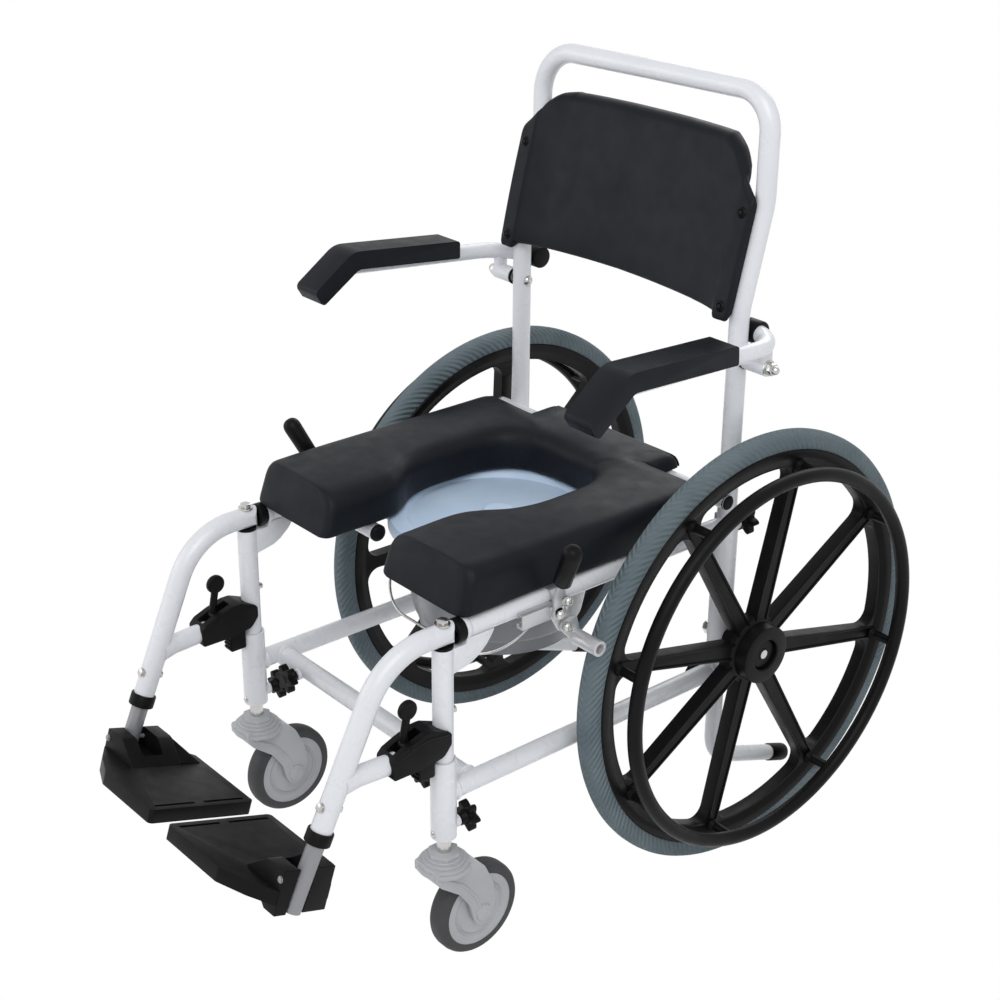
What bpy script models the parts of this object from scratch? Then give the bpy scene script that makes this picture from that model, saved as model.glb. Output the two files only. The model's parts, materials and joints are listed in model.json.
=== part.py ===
"""Self-propelled commode chair: wheeled tube frame, horseshoe seat, bucket, flip-up arms,
swing-away footrests and roller brakes.

Frame of reference: metres, +Z up, the user faces -Y and the user's left is +X.
Distances along the chair are worked from the rear axle, whose line is carried by one empty.
"""
import math

import bmesh
import bpy
from mathutils import Matrix, Vector

# Overall
WHEEL_R = 0.300            # tyre radius of the rear wheels
OVERALL_LENGTH = 1.0496    # toe of the footplates to the back of the rear tyres
AXLE_Y = OVERALL_LENGTH / 2 - WHEEL_R
GAP = 0.0003               # daylight between pieces that touch
RUN = 0.0006               # running clearance of turning and sliding fits

# Frame tubes
TUBE = 0.0255              # main tube diameter
SLEEVE = 0.032             # outer diameter of the four sleeves
HALF = 0.2048              # sleeve axes from the middle
LEG_Y = -0.4745            # front sleeves from the axle
UPR_Y = -0.0035            # uprights from the axle
SEAT_RAIL_Z = 0.4612
SIDE_RAIL_Z = 0.2475
CROSS_Y = -0.430
FRONT_SLEEVE_Z = (0.179, 0.2956)
REAR_SLEEVE_Z = (0.226, 0.475)
LEG_Z = (0.212, 0.4465)
UPRIGHT_FOOT_Z = 0.335
HANDLE_Z = 1.0148
HANDLE_LEAN = 0.0335       # how far the top of the back leans rearwards
LEAN_Z = (0.7505, 0.8825)
STUB = 0.022
STUB_END = 0.050
REAR_CROSS = 0.020
REAR_CROSS_Y = -0.0235
REAR_CROSS_Z = 0.504
HEIGHT_TRAVEL = 0.050      # seat height adjustment

# Rear wheels
TRACK = 0.2548             # wheel plane from the middle
TYRE_W = 0.028
RIM_R = WHEEL_R - 0.0235
RIM_INNER_R = RIM_R - 0.0220
RIM_W = 0.027
SPOKES = 8
SPOKE_PHASE = -13.8        # degrees from level
RIGHT_PHASE = -1.5         # the right wheel stands turned
HUB_R = 0.040
HUB_FACE = 0.0315          # hub face outside the wheel plane
HUB_TAIL = TRACK - HALF - SLEEVE / 2 - 0.001    # hub tail inside the wheel plane
AXLE_D = 0.012
WEB_HALF = 0.0088
HANDRIM_R = WHEEL_R - 0.0450
HANDRIM_D = 0.019
HANDRIM_OFF = 0.0490

# Castors
CASTOR_R = 0.0625
CASTOR_W = 0.026
TRAIL = 0.0460
STEM_D = 0.018
FORK_CHEEK = 0.0065

# Seat and back
SEAT_Z = (0.4750, 0.5330)
SEAT_HALF = 0.2141
SEAT_FRONT = -0.4456
WING_REAR = -0.0566
TONGUE_REAR = -0.0055
TONGUE_HALF = 0.122
CHANNEL_HALF = 0.058
OPENING_HALF = 0.100
OPENING_REAR = -0.106
BACK_TILT = math.degrees(math.atan2(HANDLE_LEAN, LEAN_Z[1] - LEAN_Z[0]))
BACK_HALF = HALF + 0.0150
BACK_Z = 0.823             # middle of the back panel
BACK_GAP = 0.0012          # panel flange to upright
FLANGE_T = 0.016

# Bucket
BUCKET_Y = -0.2175
PAIL_TOP_R = 0.1348
PAIL_FOOT_R = PAIL_TOP_R - 0.0278
PAIL_Z = (0.312, 0.4543)
PAIL_LIP = 0.003           # thickness of the flange round the pail
BUCKET_R = PAIL_TOP_R + 0.0057    # clear half-width between the runners
RUNNER_Z = PAIL_Z[1] - PAIL_LIP - GAP
LID_R = PAIL_TOP_R + 0.0099
BAIL_Z = 0.440
BAIL_REACH = 0.158
BAIL_DROP = 45.0           # degrees below level

# Arms
ARM_PIVOT_Z = 0.6921
ARM_TUBE = 0.022
PAD_W = 0.045
LEFT_ARM_DROP = 3.4        # degrees the left arm rests lower

# Footrests
HANGER = 0.027
FOOT_TUBE = 0.022
HANGER_Z = 0.4625
HANGER_KNEE = (HALF - 0.0014, -0.5553, HANGER_Z)
HANGER_END = (HALF - 0.0078, -0.6497, 0.2585)
STRUT_Z = 0.3195
HINGE_DOWN = 0.0510        # footplate hinge below the hanger's end, along the tube
PLATE_TILT = 18.5          # degrees, toes up
PLATE_FRONT = -0.0722      # from the hinge along the plate
PLATE_REAR = 0.0780
PLATE_INNER = 0.018        # inner edge from the middle
PLATE_T = 0.018
HINGE_W = 0.0136           # hinge above the tread
LUG = (-0.0336, 0.0400)
LUG_TOP = 0.0114
LUG_FOOT = -0.0450

# Brakes: everything hangs off the roller, which waits in front of the tyre
ROLLER_R = 0.010
ROLLER_GAP = 0.0041        # to the tyre, level
ROLLER_Z = SEAT_RAIL_Z - 0.0510
ROLLER_Y = -math.sqrt(WHEEL_R ** 2 - (ROLLER_Z - WHEEL_R) ** 2) - ROLLER_GAP - ROLLER_R
ROLLER = (ROLLER_Y, ROLLER_Z)
CARRIER_PIVOT = (ROLLER_Y - 0.0180, ROLLER_Z + 0.0201)
LEVER_PIVOT = (ROLLER_Y - 0.0294, ROLLER_Z + 0.0404)
BRAKE_Y = ROLLER_Y - 0.0162    # clamp on the seat rail
STUB_Y = BRAKE_Y - 0.0593      # stub tubes under the front of the opening
PLATE_X = HALF + 0.0237        # side plate, outside the slide channel
BLADE_X = PLATE_X + 0.0037     # lever blade and roller carrier
LEVER_TIP = (BLADE_X + 0.0404, ROLLER_Y - 0.0409, ROLLER_Z + 0.1447)
RIGHT_LEVER = 14.0         # degrees the right lever stands further forward
BRAKE_RATIO = 0.6          # carrier turn per lever turn

PARTS = "commode_chair"
CUTTERS = "cutters"


def clear_scene():
    for obj in list(bpy.data.objects):
        bpy.data.objects.remove(obj, do_unlink=True)


def collection(name):
    found = bpy.data.collections.get(name)
    if found is None:
        found = bpy.data.collections.new(name)
        bpy.context.scene.collection.children.link(found)
    return found


def link(name, data):
    obj = bpy.data.objects.new(name, data)
    collection(PARTS).objects.link(obj)
    return obj


def evaluated(obj):
    """Freeze an object's modifiers, or a curve's solid, into a plain mesh object."""
    graph = bpy.context.evaluated_depsgraph_get()
    graph.update()
    mesh = bpy.data.meshes.new_from_object(obj.evaluated_get(graph))
    name = obj.name
    matrix = obj.matrix_world.copy()
    bpy.data.objects.remove(obj, do_unlink=True)
    result = link(name, mesh)
    result.matrix_world = matrix
    return result


def weld(obj, distance=1e-5):
    mesh = bmesh.new()
    mesh.from_mesh(obj.data)
    bmesh.ops.remove_doubles(mesh, verts=mesh.verts, dist=distance)
    bmesh.ops.dissolve_degenerate(mesh, edges=mesh.edges, dist=1e-6)
    bmesh.ops.dissolve_limit(mesh, angle_limit=math.radians(0.05), verts=mesh.verts, edges=mesh.edges)
    bmesh.ops.recalc_face_normals(mesh, faces=mesh.faces)
    mesh.to_mesh(obj.data)
    mesh.free()
    return obj


def bake(obj, matrix):
    """Move the mesh itself, leaving the object at the origin."""
    obj.data.transform(matrix)
    if matrix.determinant() < 0:
        obj.data.flip_normals()
    return obj


def from_bmesh(name, mesh):
    data = bpy.data.meshes.new(name)
    mesh.to_mesh(data)
    mesh.free()
    return link(name, data)


def axis_frame(direction):
    """Rotation that takes +Z onto the given direction."""
    return Vector((0, 0, 1)).rotation_difference(Vector(direction).normalized()).to_matrix().to_4x4()


def box(name, low, high):
    mesh = bmesh.new()
    bmesh.ops.create_cube(mesh, size=1.0)
    obj = from_bmesh(name, mesh)
    low, high = Vector(low), Vector(high)
    size = high - low
    return bake(obj, Matrix.Translation((low + high) / 2) @ Matrix.Diagonal((*size, 1.0)))


def rod(name, start, end, radius, sides=16, end_radius=None, turn=0.0):
    """Round or polygonal bar between two points."""
    start, end = Vector(start), Vector(end)
    mesh = bmesh.new()
    bmesh.ops.create_cone(mesh, cap_ends=True, segments=sides, radius1=radius,
                          radius2=radius if end_radius is None else end_radius,
                          depth=(end - start).length)
    obj = from_bmesh(name, mesh)
    spin = Matrix.Rotation(math.radians(turn), 4, "Z")
    return bake(obj, Matrix.Translation((start + end) / 2) @ axis_frame(end - start) @ spin)


def rounded_path(points, radii, steps):
    """Polyline with each inner corner replaced by an arc of its radius."""
    points = [Vector(p) for p in points]
    path = [points[0]]
    for i in range(1, len(points) - 1):
        before = (points[i - 1] - points[i]).normalized()
        after = (points[i + 1] - points[i]).normalized()
        radius = radii[i - 1]
        half = before.angle(after) / 2
        reach = radius / math.tan(half)
        centre = points[i] + (before + after).normalized() * (radius / math.sin(half))
        first = points[i] + before * reach - centre
        last = points[i] + after * reach - centre
        sweep = first.angle(last)
        axis = first.cross(last).normalized()
        count = max(2, round(steps * sweep / (math.pi / 2)))
        for k in range(count + 1):
            path.append(centre + Matrix.Rotation(sweep * k / count, 3, axis) @ first)
    path.append(points[-1])
    return path


def tube(name, points, radius, radii=(), steps=5, resolution=3):
    """Solid bent tube: a POLY curve with a round bevel and filled caps."""
    path = rounded_path(points, radii, steps) if radii else [Vector(p) for p in points]
    curve = bpy.data.curves.new(name, "CURVE")
    curve.dimensions = "3D"
    curve.bevel_depth = radius
    curve.bevel_resolution = resolution
    curve.use_fill_caps = True
    spline = curve.splines.new("POLY")
    spline.points.add(len(path) - 1)
    for point, place in zip(spline.points, path):
        point.co = (*place, 1.0)
    return weld(evaluated(link(name, curve)))


def bore(name, start, end, radius, sides=12):
    """Cutter for a round hole whose flats stand at the radius."""
    return rod(name, start, end, radius / math.cos(math.pi / sides), sides)


PLANES = {
    "XY": Matrix.Identity(4),
    "YZ": Matrix(((0, 0, 1, 0), (1, 0, 0, 0), (0, 1, 0, 0), (0, 0, 0, 1))),
    "XZ": Matrix(((1, 0, 0, 0), (0, 0, -1, 0), (0, 1, 0, 0), (0, 0, 0, 1))),
}


def prism(name, outline, low, high, plane="XY", holes=()):
    """Flat outline in a plane, thickened between two heights across that plane."""
    curve = bpy.data.curves.new(name, "CURVE")
    curve.dimensions = "2D"
    curve.fill_mode = "BOTH"
    curve.extrude = (high - low) / 2
    for loop in (outline, *holes):
        spline = curve.splines.new("POLY")
        spline.points.add(len(loop) - 1)
        spline.use_cyclic_u = True
        for point, (u, v) in zip(spline.points, loop):
            point.co = (u, v, 0.0, 1.0)
    middle = (high + low) / 2
    if plane == "XZ":
        middle = -middle
    obj = evaluated(link(name, curve))
    bake(obj, PLANES[plane] @ Matrix.Translation((0, 0, middle)))
    return weld(obj)


def turned(name, profile, centre, direction, steps=32, closed=False):
    """Turned solid: (radius, height) pairs down the outer side, spun by a Screw modifier."""
    data = bpy.data.meshes.new(name)
    edges = [(i, i + 1) for i in range(len(profile) - 1)]
    if closed:
        edges.append((len(profile) - 1, 0))
    data.from_pydata([(r, 0.0, h) for r, h in profile], edges, [])
    obj = link(name, data)
    screw = obj.modifiers.new("spin", "SCREW")
    screw.axis = "Z"
    screw.angle = math.tau
    screw.steps = steps
    screw.render_steps = steps
    screw.use_merge_vertices = True
    screw.merge_threshold = 1e-5
    obj = weld(evaluated(obj))
    return bake(obj, Matrix.Translation(centre) @ axis_frame(direction))


def boolean(base, others, operation):
    for other in others:
        modifier = base.modifiers.new("join", "BOOLEAN")
        modifier.operation = operation
        modifier.object = other
        modifier.solver = "EXACT"
        collection(PARTS).objects.unlink(other)
        collection(CUTTERS).objects.link(other)
        other.hide_render = True
        other.display_type = "WIRE"
    result = evaluated(base)
    for other in others:
        bpy.data.objects.remove(other, do_unlink=True)
    return weld(result, 2e-6)


def fuse(base, *others):
    return boolean(base, others, "UNION")


def cut(base, *others):
    return boolean(base, others, "DIFFERENCE")


def bevel(obj, width, segments=2, angle=30):
    modifier = obj.modifiers.new("edges", "BEVEL")
    modifier.width = width
    modifier.segments = segments
    modifier.limit_method = "ANGLE"
    modifier.angle_limit = math.radians(angle)
    modifier.use_clamp_overlap = True
    return weld(evaluated(obj), 2e-6)


def material(name, colour, roughness, metallic=0.0):
    found = bpy.data.materials.get(name)
    if found is None:
        found = bpy.data.materials.new(name)
        found.use_nodes = True
        shader = found.node_tree.nodes["Principled BSDF"]
        shader.inputs["Base Color"].default_value = (*colour, 1.0)
        shader.inputs["Roughness"].default_value = roughness
        shader.inputs["Metallic"].default_value = metallic
        found.diffuse_color = (*colour, 1.0)
    return found


LOOKS = {
    "white_paint": ((0.80, 0.81, 0.84), 0.30, 0.0),
    "black_moulding": ((0.012, 0.012, 0.013), 0.42, 0.0),
    "black_foam": ((0.022, 0.023, 0.026), 0.60, 0.0),
    "tyre_rubber": ((0.105, 0.135, 0.145), 0.75, 0.0),
    "castor_plastic": ((0.23, 0.235, 0.25), 0.45, 0.0),
    "castor_rubber": ((0.045, 0.045, 0.048), 0.80, 0.0),
    "steel": ((0.62, 0.61, 0.59), 0.28, 1.0),
    "aluminium": ((0.72, 0.73, 0.74), 0.38, 1.0),
    "bucket_plastic": ((0.43, 0.50, 0.60), 0.40, 0.0),
}


def finish(obj, name, look, origin):
    """Name the piece, give it its material and put its origin on its own axis."""
    obj.name = name
    obj.data.name = name
    obj.data.materials.clear()
    obj.data.materials.append(material(look, *LOOKS[look]))
    for polygon in obj.data.polygons:
        polygon.material_index = 0
    origin = Vector(origin)
    obj.data.transform(Matrix.Translation(-origin))
    obj.data.shade_smooth()
    obj.data.set_sharp_from_angle(angle=math.radians(35))
    obj.location = origin
    obj.parent = AXLE_LINE
    return obj


def rounded_outline(points, radii, steps=4):
    """Closed outline with its corners filleted; a radius of 0 keeps the corner sharp."""
    outline = []
    count = len(points)
    for i, radius in enumerate(radii):
        before, here, after = points[i - 1], points[i], points[(i + 1) % count]
        if radius <= 0:
            outline.append(tuple(here))
            continue
        arc = rounded_path([(*before, 0), (*here, 0), (*after, 0)], [radius], steps)
        outline += [(p.x, p.y) for p in arc[1:-1]]
    return outline


def loft(name, sections):
    """Closed skin over a row of unlike sections, with flat ends."""
    mesh = bmesh.new()
    rings = [[mesh.verts.new(p) for p in section] for section in sections]
    count = len(rings[0])
    for a, b in zip(rings, rings[1:]):
        for k in range(count):
            mesh.faces.new((a[k], a[(k + 1) % count], b[(k + 1) % count], b[k]))
    mesh.faces.new(rings[0])
    mesh.faces.new(rings[-1])
    bmesh.ops.recalc_face_normals(mesh, faces=mesh.faces)
    return from_bmesh(name, mesh)


def across(obj, name):
    """The same piece for the user's right-hand side."""
    copy = obj.data.copy()
    copy.transform(Matrix.Scale(-1, 4, (1, 0, 0)))
    copy.flip_normals()
    copy.name = name
    twin = link(name, copy)
    twin.location = (-obj.location.x, obj.location.y, obj.location.z)
    twin.parent = AXLE_LINE
    return twin


def pair(obj, stem, look, origin):
    left = finish(obj, stem + "_left", look, origin)
    return left, across(left, stem + "_right")


clear_scene()
AXLE_LINE = bpy.data.objects.new("axle_line", None)
AXLE_LINE.location = (0.0, AXLE_Y, 0.0)
collection(PARTS).objects.link(AXLE_LINE)
X, Y, Z = Vector((1, 0, 0)), Vector((0, 1, 0)), Vector((0, 0, 1))


# Star knobs: six lobes round a hub, with the screw that enters its boss
KNOB_R = 0.0155
KNOB_T = 0.016
KNOB_REACH = 0.029         # screw tip to the knob's back face


def star_knob(name, tip, direction):
    outline = []
    for lobe in range(6):
        for shift, radius in ((-0.16, KNOB_R), (0.16, KNOB_R), (0.5, 0.0108)):
            angle = math.tau * (lobe + shift) / 6
            outline.append((radius * math.cos(angle), radius * math.sin(angle)))
    head = prism(name, outline, 0.0, KNOB_T)
    screw = rod("screw", (0, 0, -KNOB_REACH + KNOB_T), (0, 0, 0.002), 0.0029, 6)
    head = fuse(head, screw)
    place = Matrix.Translation(Vector(tip)) @ axis_frame(direction)
    return bake(head, place @ Matrix.Translation((0, 0, KNOB_REACH - KNOB_T)))


def clamp_boss(name, start, direction, reach=0.006):
    start, direction = Vector(start), Vector(direction)
    return rod(name, start - direction * 0.004, start + direction * reach, 0.008, 8)


# Lower frame
def rail_slot():
    """Notch in the rear sleeve that lets the seat rail ride up with the upright."""
    half = TUBE / 2 + 0.0009
    bottom = SEAT_RAIL_Z - TUBE / 2 - 0.0007
    outline = [(HALF + half * math.cos(a), bottom + half + half * math.sin(a))
               for a in [math.pi + math.pi * k / 6 for k in range(7)]]
    outline += [(HALF + half, 0.60), (HALF - half, 0.60)]
    return prism("slot", outline, UPR_Y - 0.03, UPR_Y, "XZ")


def frame_side():
    front = rod("front_sleeve", (HALF, LEG_Y, FRONT_SLEEVE_Z[0]), (HALF, LEG_Y, FRONT_SLEEVE_Z[1]),
                SLEEVE / 2, 16)
    rear = rod("rear_sleeve", (HALF, UPR_Y, REAR_SLEEVE_Z[0]), (HALF, UPR_Y, REAR_SLEEVE_Z[1]),
               SLEEVE / 2, 16)
    rail = tube("side_rail", [(HALF, LEG_Y + 0.006, SIDE_RAIL_Z), (HALF, UPR_Y - 0.006, SIDE_RAIL_Z)],
                TUBE / 2)
    lever = tube("tip_lever", [(HALF, UPR_Y, REAR_SLEEVE_Z[0] + 0.006), (HALF, UPR_Y, 0.1105),
                               (HALF, 0.145, 0.0552)], 0.0110, [0.045], steps=4, resolution=2)
    sleeve_boss = clamp_boss("boss", (HALF, LEG_Y + SLEEVE / 2, 0.1996), Y)
    top_boss = clamp_boss("boss", (HALF, UPR_Y + SLEEVE / 2, 0.457), Y)
    low_boss = clamp_boss("boss", (HALF - SLEEVE / 2, UPR_Y, 0.236), -X)
    rung = tube("rung", [(HALF, CROSS_Y, SIDE_RAIL_Z - 0.001), (-0.0001, CROSS_Y, SIDE_RAIL_Z - 0.001)],
                TUBE / 2)
    rung_boss = clamp_boss("boss", (0.147, CROSS_Y - TUBE / 2, 0.2420), -Y, 0.0035)
    side = fuse(front, rail, rear, lever, sleeve_boss, top_boss, low_boss, rung, rung_boss)
    bores = [
        bore("leg_bore", (HALF, LEG_Y, 0.2040), (HALF, LEG_Y, 0.32), TUBE / 2 + RUN, 14),
        bore("stem_bore", (HALF, LEG_Y, 0.17), (HALF, LEG_Y, 0.1985), STEM_D / 2 + RUN, 12),
        bore("upright_bore", (HALF, UPR_Y, 0.324), (HALF, UPR_Y, 0.52), TUBE / 2 + RUN, 14),
        bore("axle_bore", (HALF - 0.03, 0, WHEEL_R), (HALF + 0.03, 0, WHEEL_R), AXLE_D / 2 + GAP, 12),
        rail_slot(),
        bore("screw", (HALF, LEG_Y + 0.005, 0.1996), (HALF, LEG_Y + 0.05, 0.1996), 0.0034, 6),
        bore("screw", (HALF, UPR_Y + 0.005, 0.457), (HALF, UPR_Y + 0.05, 0.457), 0.0034, 6),
        bore("screw", (HALF - 0.012, UPR_Y, 0.236), (HALF - 0.05, UPR_Y, 0.236), 0.0034, 6),
        bore("screw", (0.147, CROSS_Y - 0.004, 0.2420), (0.147, CROSS_Y - 0.05, 0.2420), 0.0034, 6),
    ]
    return cut(side, *bores)


def lower_frame():
    left = frame_side()
    copy = left.data.copy()
    copy.transform(Matrix.Scale(-1, 4, X))
    copy.flip_normals()
    right = link("right_half", copy)
    return finish(fuse(left, right), "lower_frame", "white_paint", (0, CROSS_Y, SIDE_RAIL_Z))


# Upper frame
def gusset():
    """Formed plate that carries the leg under the front end of the seat rail."""
    inside = TUBE / 2 - 0.004
    under_rail = 0.002 - TUBE / 2
    outline = [(inside, -0.0172), (0.0280, -0.0172), (0.0305, under_rail), (0.0705, under_rail),
               (0.0670, -0.0172), (0.0585, -0.0282), (0.0455, -0.0392), (0.0345, -0.0447),
               (inside, -0.0502)]
    outline = [(LEG_Y + u, SEAT_RAIL_Z + v) for u, v in outline]
    return prism("gusset", outline, HALF - 0.009, HALF + 0.009, "YZ")


def upper_side():
    leg = rod("leg", (HALF, LEG_Y, LEG_Z[0]), (HALF, LEG_Y, LEG_Z[1]), TUBE / 2, 12)
    rail = tube("seat_rail", [(HALF, LEG_Y + 0.0268, SEAT_RAIL_Z), (HALF, UPR_Y, SEAT_RAIL_Z)], TUBE / 2)
    stub = rod("stub", (HALF, STUB_Y, SEAT_RAIL_Z), (STUB_END, STUB_Y, SEAT_RAIL_Z), STUB / 2, 12)
    lean = UPR_Y + HANDLE_LEAN
    back = tube("back", [(HALF, UPR_Y, UPRIGHT_FOOT_Z), (HALF, UPR_Y, LEAN_Z[0]), (HALF, lean, LEAN_Z[1]),
                         (HALF, lean, HANDLE_Z), (-0.0001, lean, HANDLE_Z)],
                TUBE / 2, [0.09, 0.09, 0.050], steps=5)
    cross = rod("cross", (-0.0001, REAR_CROSS_Y, REAR_CROSS_Z), (HALF + 0.0190, REAR_CROSS_Y, REAR_CROSS_Z),
                REAR_CROSS / 2, 12)
    inner = BUCKET_R + 0.001
    runner = [(inner, RUNNER_Z), (inner, RUNNER_Z - 0.0025), (inner + 0.0225, RUNNER_Z - 0.0025),
              (inner + 0.0225, RUNNER_Z + 0.014), (inner + 0.020, RUNNER_Z + 0.014),
              (inner + 0.020, RUNNER_Z)]
    runner = prism("runner", runner, STUB_Y - 0.006, REAR_CROSS_Y + 0.012, "XZ")
    hang_x = inner + 0.0225
    foot = RUNNER_Z - 0.0025
    hanger = [(REAR_CROSS_Y - 0.010, foot), (REAR_CROSS_Y + 0.010, foot),
              (REAR_CROSS_Y + 0.006, REAR_CROSS_Z), (REAR_CROSS_Y - 0.006, REAR_CROSS_Z)]
    hanger = prism("runner_hanger", hanger, hang_x - 0.0030, hang_x + 0.0005, "YZ")
    side = fuse(leg, gusset(), rail, back, stub, cross, runner, hanger)
    cuts = [
        bore("pivot_bore", (HALF, LEG_Y, LEG_Z[1] - 0.0236), (HALF, LEG_Y, 0.46), 0.0046, 8),
        bore("arm_bore", (HALF - 0.03, UPR_Y, ARM_PIVOT_Z), (HALF + 0.03, UPR_Y, ARM_PIVOT_Z), 0.0046, 8),
    ]
    return cut(side, *cuts)


def upper_frame():
    left = upper_side()
    copy = left.data.copy()
    copy.transform(Matrix.Scale(-1, 4, X))
    copy.flip_normals()
    right = link("right_half", copy)
    return finish(fuse(left, right), "upper_frame", "white_paint", (0, UPR_Y, SEAT_RAIL_Z))


lower_frame()
upper_frame()

for stem, tip, way in (
        ("front_knob", (HALF, LEG_Y + TUBE / 2 + 0.0006, 0.1996), Y),
        ("rear_knob", (HALF, UPR_Y + TUBE / 2 + 0.0009, 0.457), Y),
        ("lever_knob", (HALF - TUBE / 2 - 0.0003, UPR_Y, 0.236), -X),
        ("rung_knob", (0.147, CROSS_Y - 0.0070, 0.2420), -Y)):
    knob = star_knob(stem, tip, way)
    pair(knob, stem, "black_moulding", tip)


# Rear wheels
def ring_points(start, end, radius, count):
    return [(radius * math.cos(start + (end - start) * k / count),
             radius * math.sin(start + (end - start) * k / count)) for k in range(count + 1)]


def spoke_window(middle, inner=0.047, fillet=0.019):
    """Opening between two tapering spokes, rounded where it meets the rim."""
    pitch = math.pi / SPOKES
    taper = math.atan2(0.0120 - 0.0090, RIM_INNER_R - HUB_R)
    along = Vector((math.cos(-pitch + -taper), math.sin(-pitch + -taper)))
    normal = Vector((-along.y, along.x))
    start = Vector((HUB_R * math.cos(-pitch), HUB_R * math.sin(-pitch)))
    start += Vector((-math.sin(-pitch), math.cos(-pitch))) * 0.0120
    offset = normal.dot(start)
    outer = RIM_INNER_R - 0.0018
    reach = math.sqrt((outer - fillet) ** 2 - (offset + fillet) ** 2)
    centre = normal * (offset + fillet) + along * reach
    line_end = normal * offset + along * reach
    rim_end = centre * (outer / centre.length)
    turn = math.atan2(*(rim_end - centre).yx) - math.atan2(*(line_end - centre).yx)
    first = math.atan2(*(line_end - centre).yx)
    lower = [(inner, inner * along.y / along.x + offset / normal.y)]
    for k in range(3):
        angle = first + turn * k / 2
        lower.append((centre.x + fillet * math.cos(angle), centre.y + fillet * math.sin(angle)))
    half = lower + [(outer, 0.0)]
    window = half + [(u, -v) for u, v in reversed(half[:-1])]
    cos, sin = math.cos(middle), math.sin(middle)
    return [(u * cos - v * sin, u * sin + v * cos) for u, v in window]


def rear_wheel(degrees):
    centre = Vector((TRACK, 0, WHEEL_R))
    rim_half = RIM_W / 2
    profile = [(RIM_R, rim_half), (RIM_R, -rim_half), (RIM_INNER_R, -0.0092), (RIM_INNER_R, 0.0092)]
    rim = turned("rim", profile, centre, X, 32, closed=True)
    phase = math.radians(degrees)
    angles = [phase + math.tau * k / SPOKES for k in range(SPOKES)]
    windows = [spoke_window(a + math.pi / SPOKES) for a in angles]
    web = prism("web", ring_points(0, math.tau * 31 / 32, RIM_INNER_R + 0.004, 31),
                -WEB_HALF, WEB_HALF, "YZ", windows)
    bake(web, Matrix.Translation(centre))
    disc = rod("disc", centre - X * 0.0140, centre + X * HUB_FACE, HUB_R, 20)
    collar = rod("collar", centre - X * 0.0200, centre - X * 0.0050, 0.028, 14)
    tail = rod("tail", centre - X * HUB_TAIL, centre, 0.0175, 12)
    wheel = fuse(rim, web, disc, collar, tail)
    recess = bore("recess", centre + X * (HUB_FACE - 0.008), centre + X * 0.04, 0.0212, 16)
    hole = bore("hole", centre - X * 0.06, centre + X * 0.06, AXLE_D / 2 + GAP, 12)
    return cut(wheel, recess, hole)


def rear_tyre():
    inner = RIM_R + GAP
    half = TYRE_W / 2
    profile = [(WHEEL_R, 0.0055), (WHEEL_R, -0.0055), (WHEEL_R - 0.0090, -half), (inner, -half),
               (inner, half), (WHEEL_R - 0.0090, half)]
    return turned("tyre", profile, (TRACK, 0, WHEEL_R), X, 32, closed=True)


def hand_rim(degrees):
    centre = Vector((TRACK + HANDRIM_OFF, 0, WHEEL_R))
    circle = [(HANDRIM_R + u, v) for u, v in ring_points(0, -math.tau * 6 / 7, HANDRIM_D / 2, 6)]
    ring = turned("hand_rim", circle, centre, X, 28, closed=True)
    posts = []
    for k in range(SPOKES):
        angle = math.radians(degrees) + math.tau * k / SPOKES
        top = centre + Vector((0, math.cos(angle), math.sin(angle))) * HANDRIM_R
        foot = Vector((TRACK + RIM_W / 2 - 0.0018, top.y, top.z))
        posts.append(rod("post", foot, top, 0.0064, 6))
    return fuse(ring, *posts)


def rear_axle():
    centre = Vector((TRACK, 0, WHEEL_R))
    inner = HALF - SLEEVE / 2 - GAP
    shaft = rod("axle", (inner - 0.012, 0, WHEEL_R), centre + X * (HUB_FACE - 0.004), AXLE_D / 2, 12)
    nut = rod("nut", (inner - 0.009, 0, WHEEL_R), (inner, 0, WHEEL_R), 0.0105, 6)
    cap = turned("cap", [(0, HUB_FACE + 0.0020), (0.0150, HUB_FACE + 0.0010), (0.0205, HUB_FACE - 0.0020),
                         (0.0205, HUB_FACE - 0.0080 + GAP),
                         (0, HUB_FACE - 0.0080 + GAP)], centre, X, 16)
    return fuse(shaft, nut, cap)


def spoked_piece(build, stem):
    finish(build(SPOKE_PHASE), stem + "_left", "black_moulding", (TRACK, 0, WHEEL_R))
    other = bake(build(RIGHT_PHASE), Matrix.Scale(-1, 4, X))
    finish(other, stem + "_right", "black_moulding", (-TRACK, 0, WHEEL_R))


spoked_piece(rear_wheel, "wheel")
spoked_piece(hand_rim, "hand_rim")
pair(rear_tyre(), "tyre", "tyre_rubber", (TRACK, 0, WHEEL_R))
pair(rear_axle(), "axle", "steel", (TRACK, 0, WHEEL_R))


# Castors
CASTOR_AXLE = Vector((HALF, LEG_Y + TRAIL, CASTOR_R))


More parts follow.
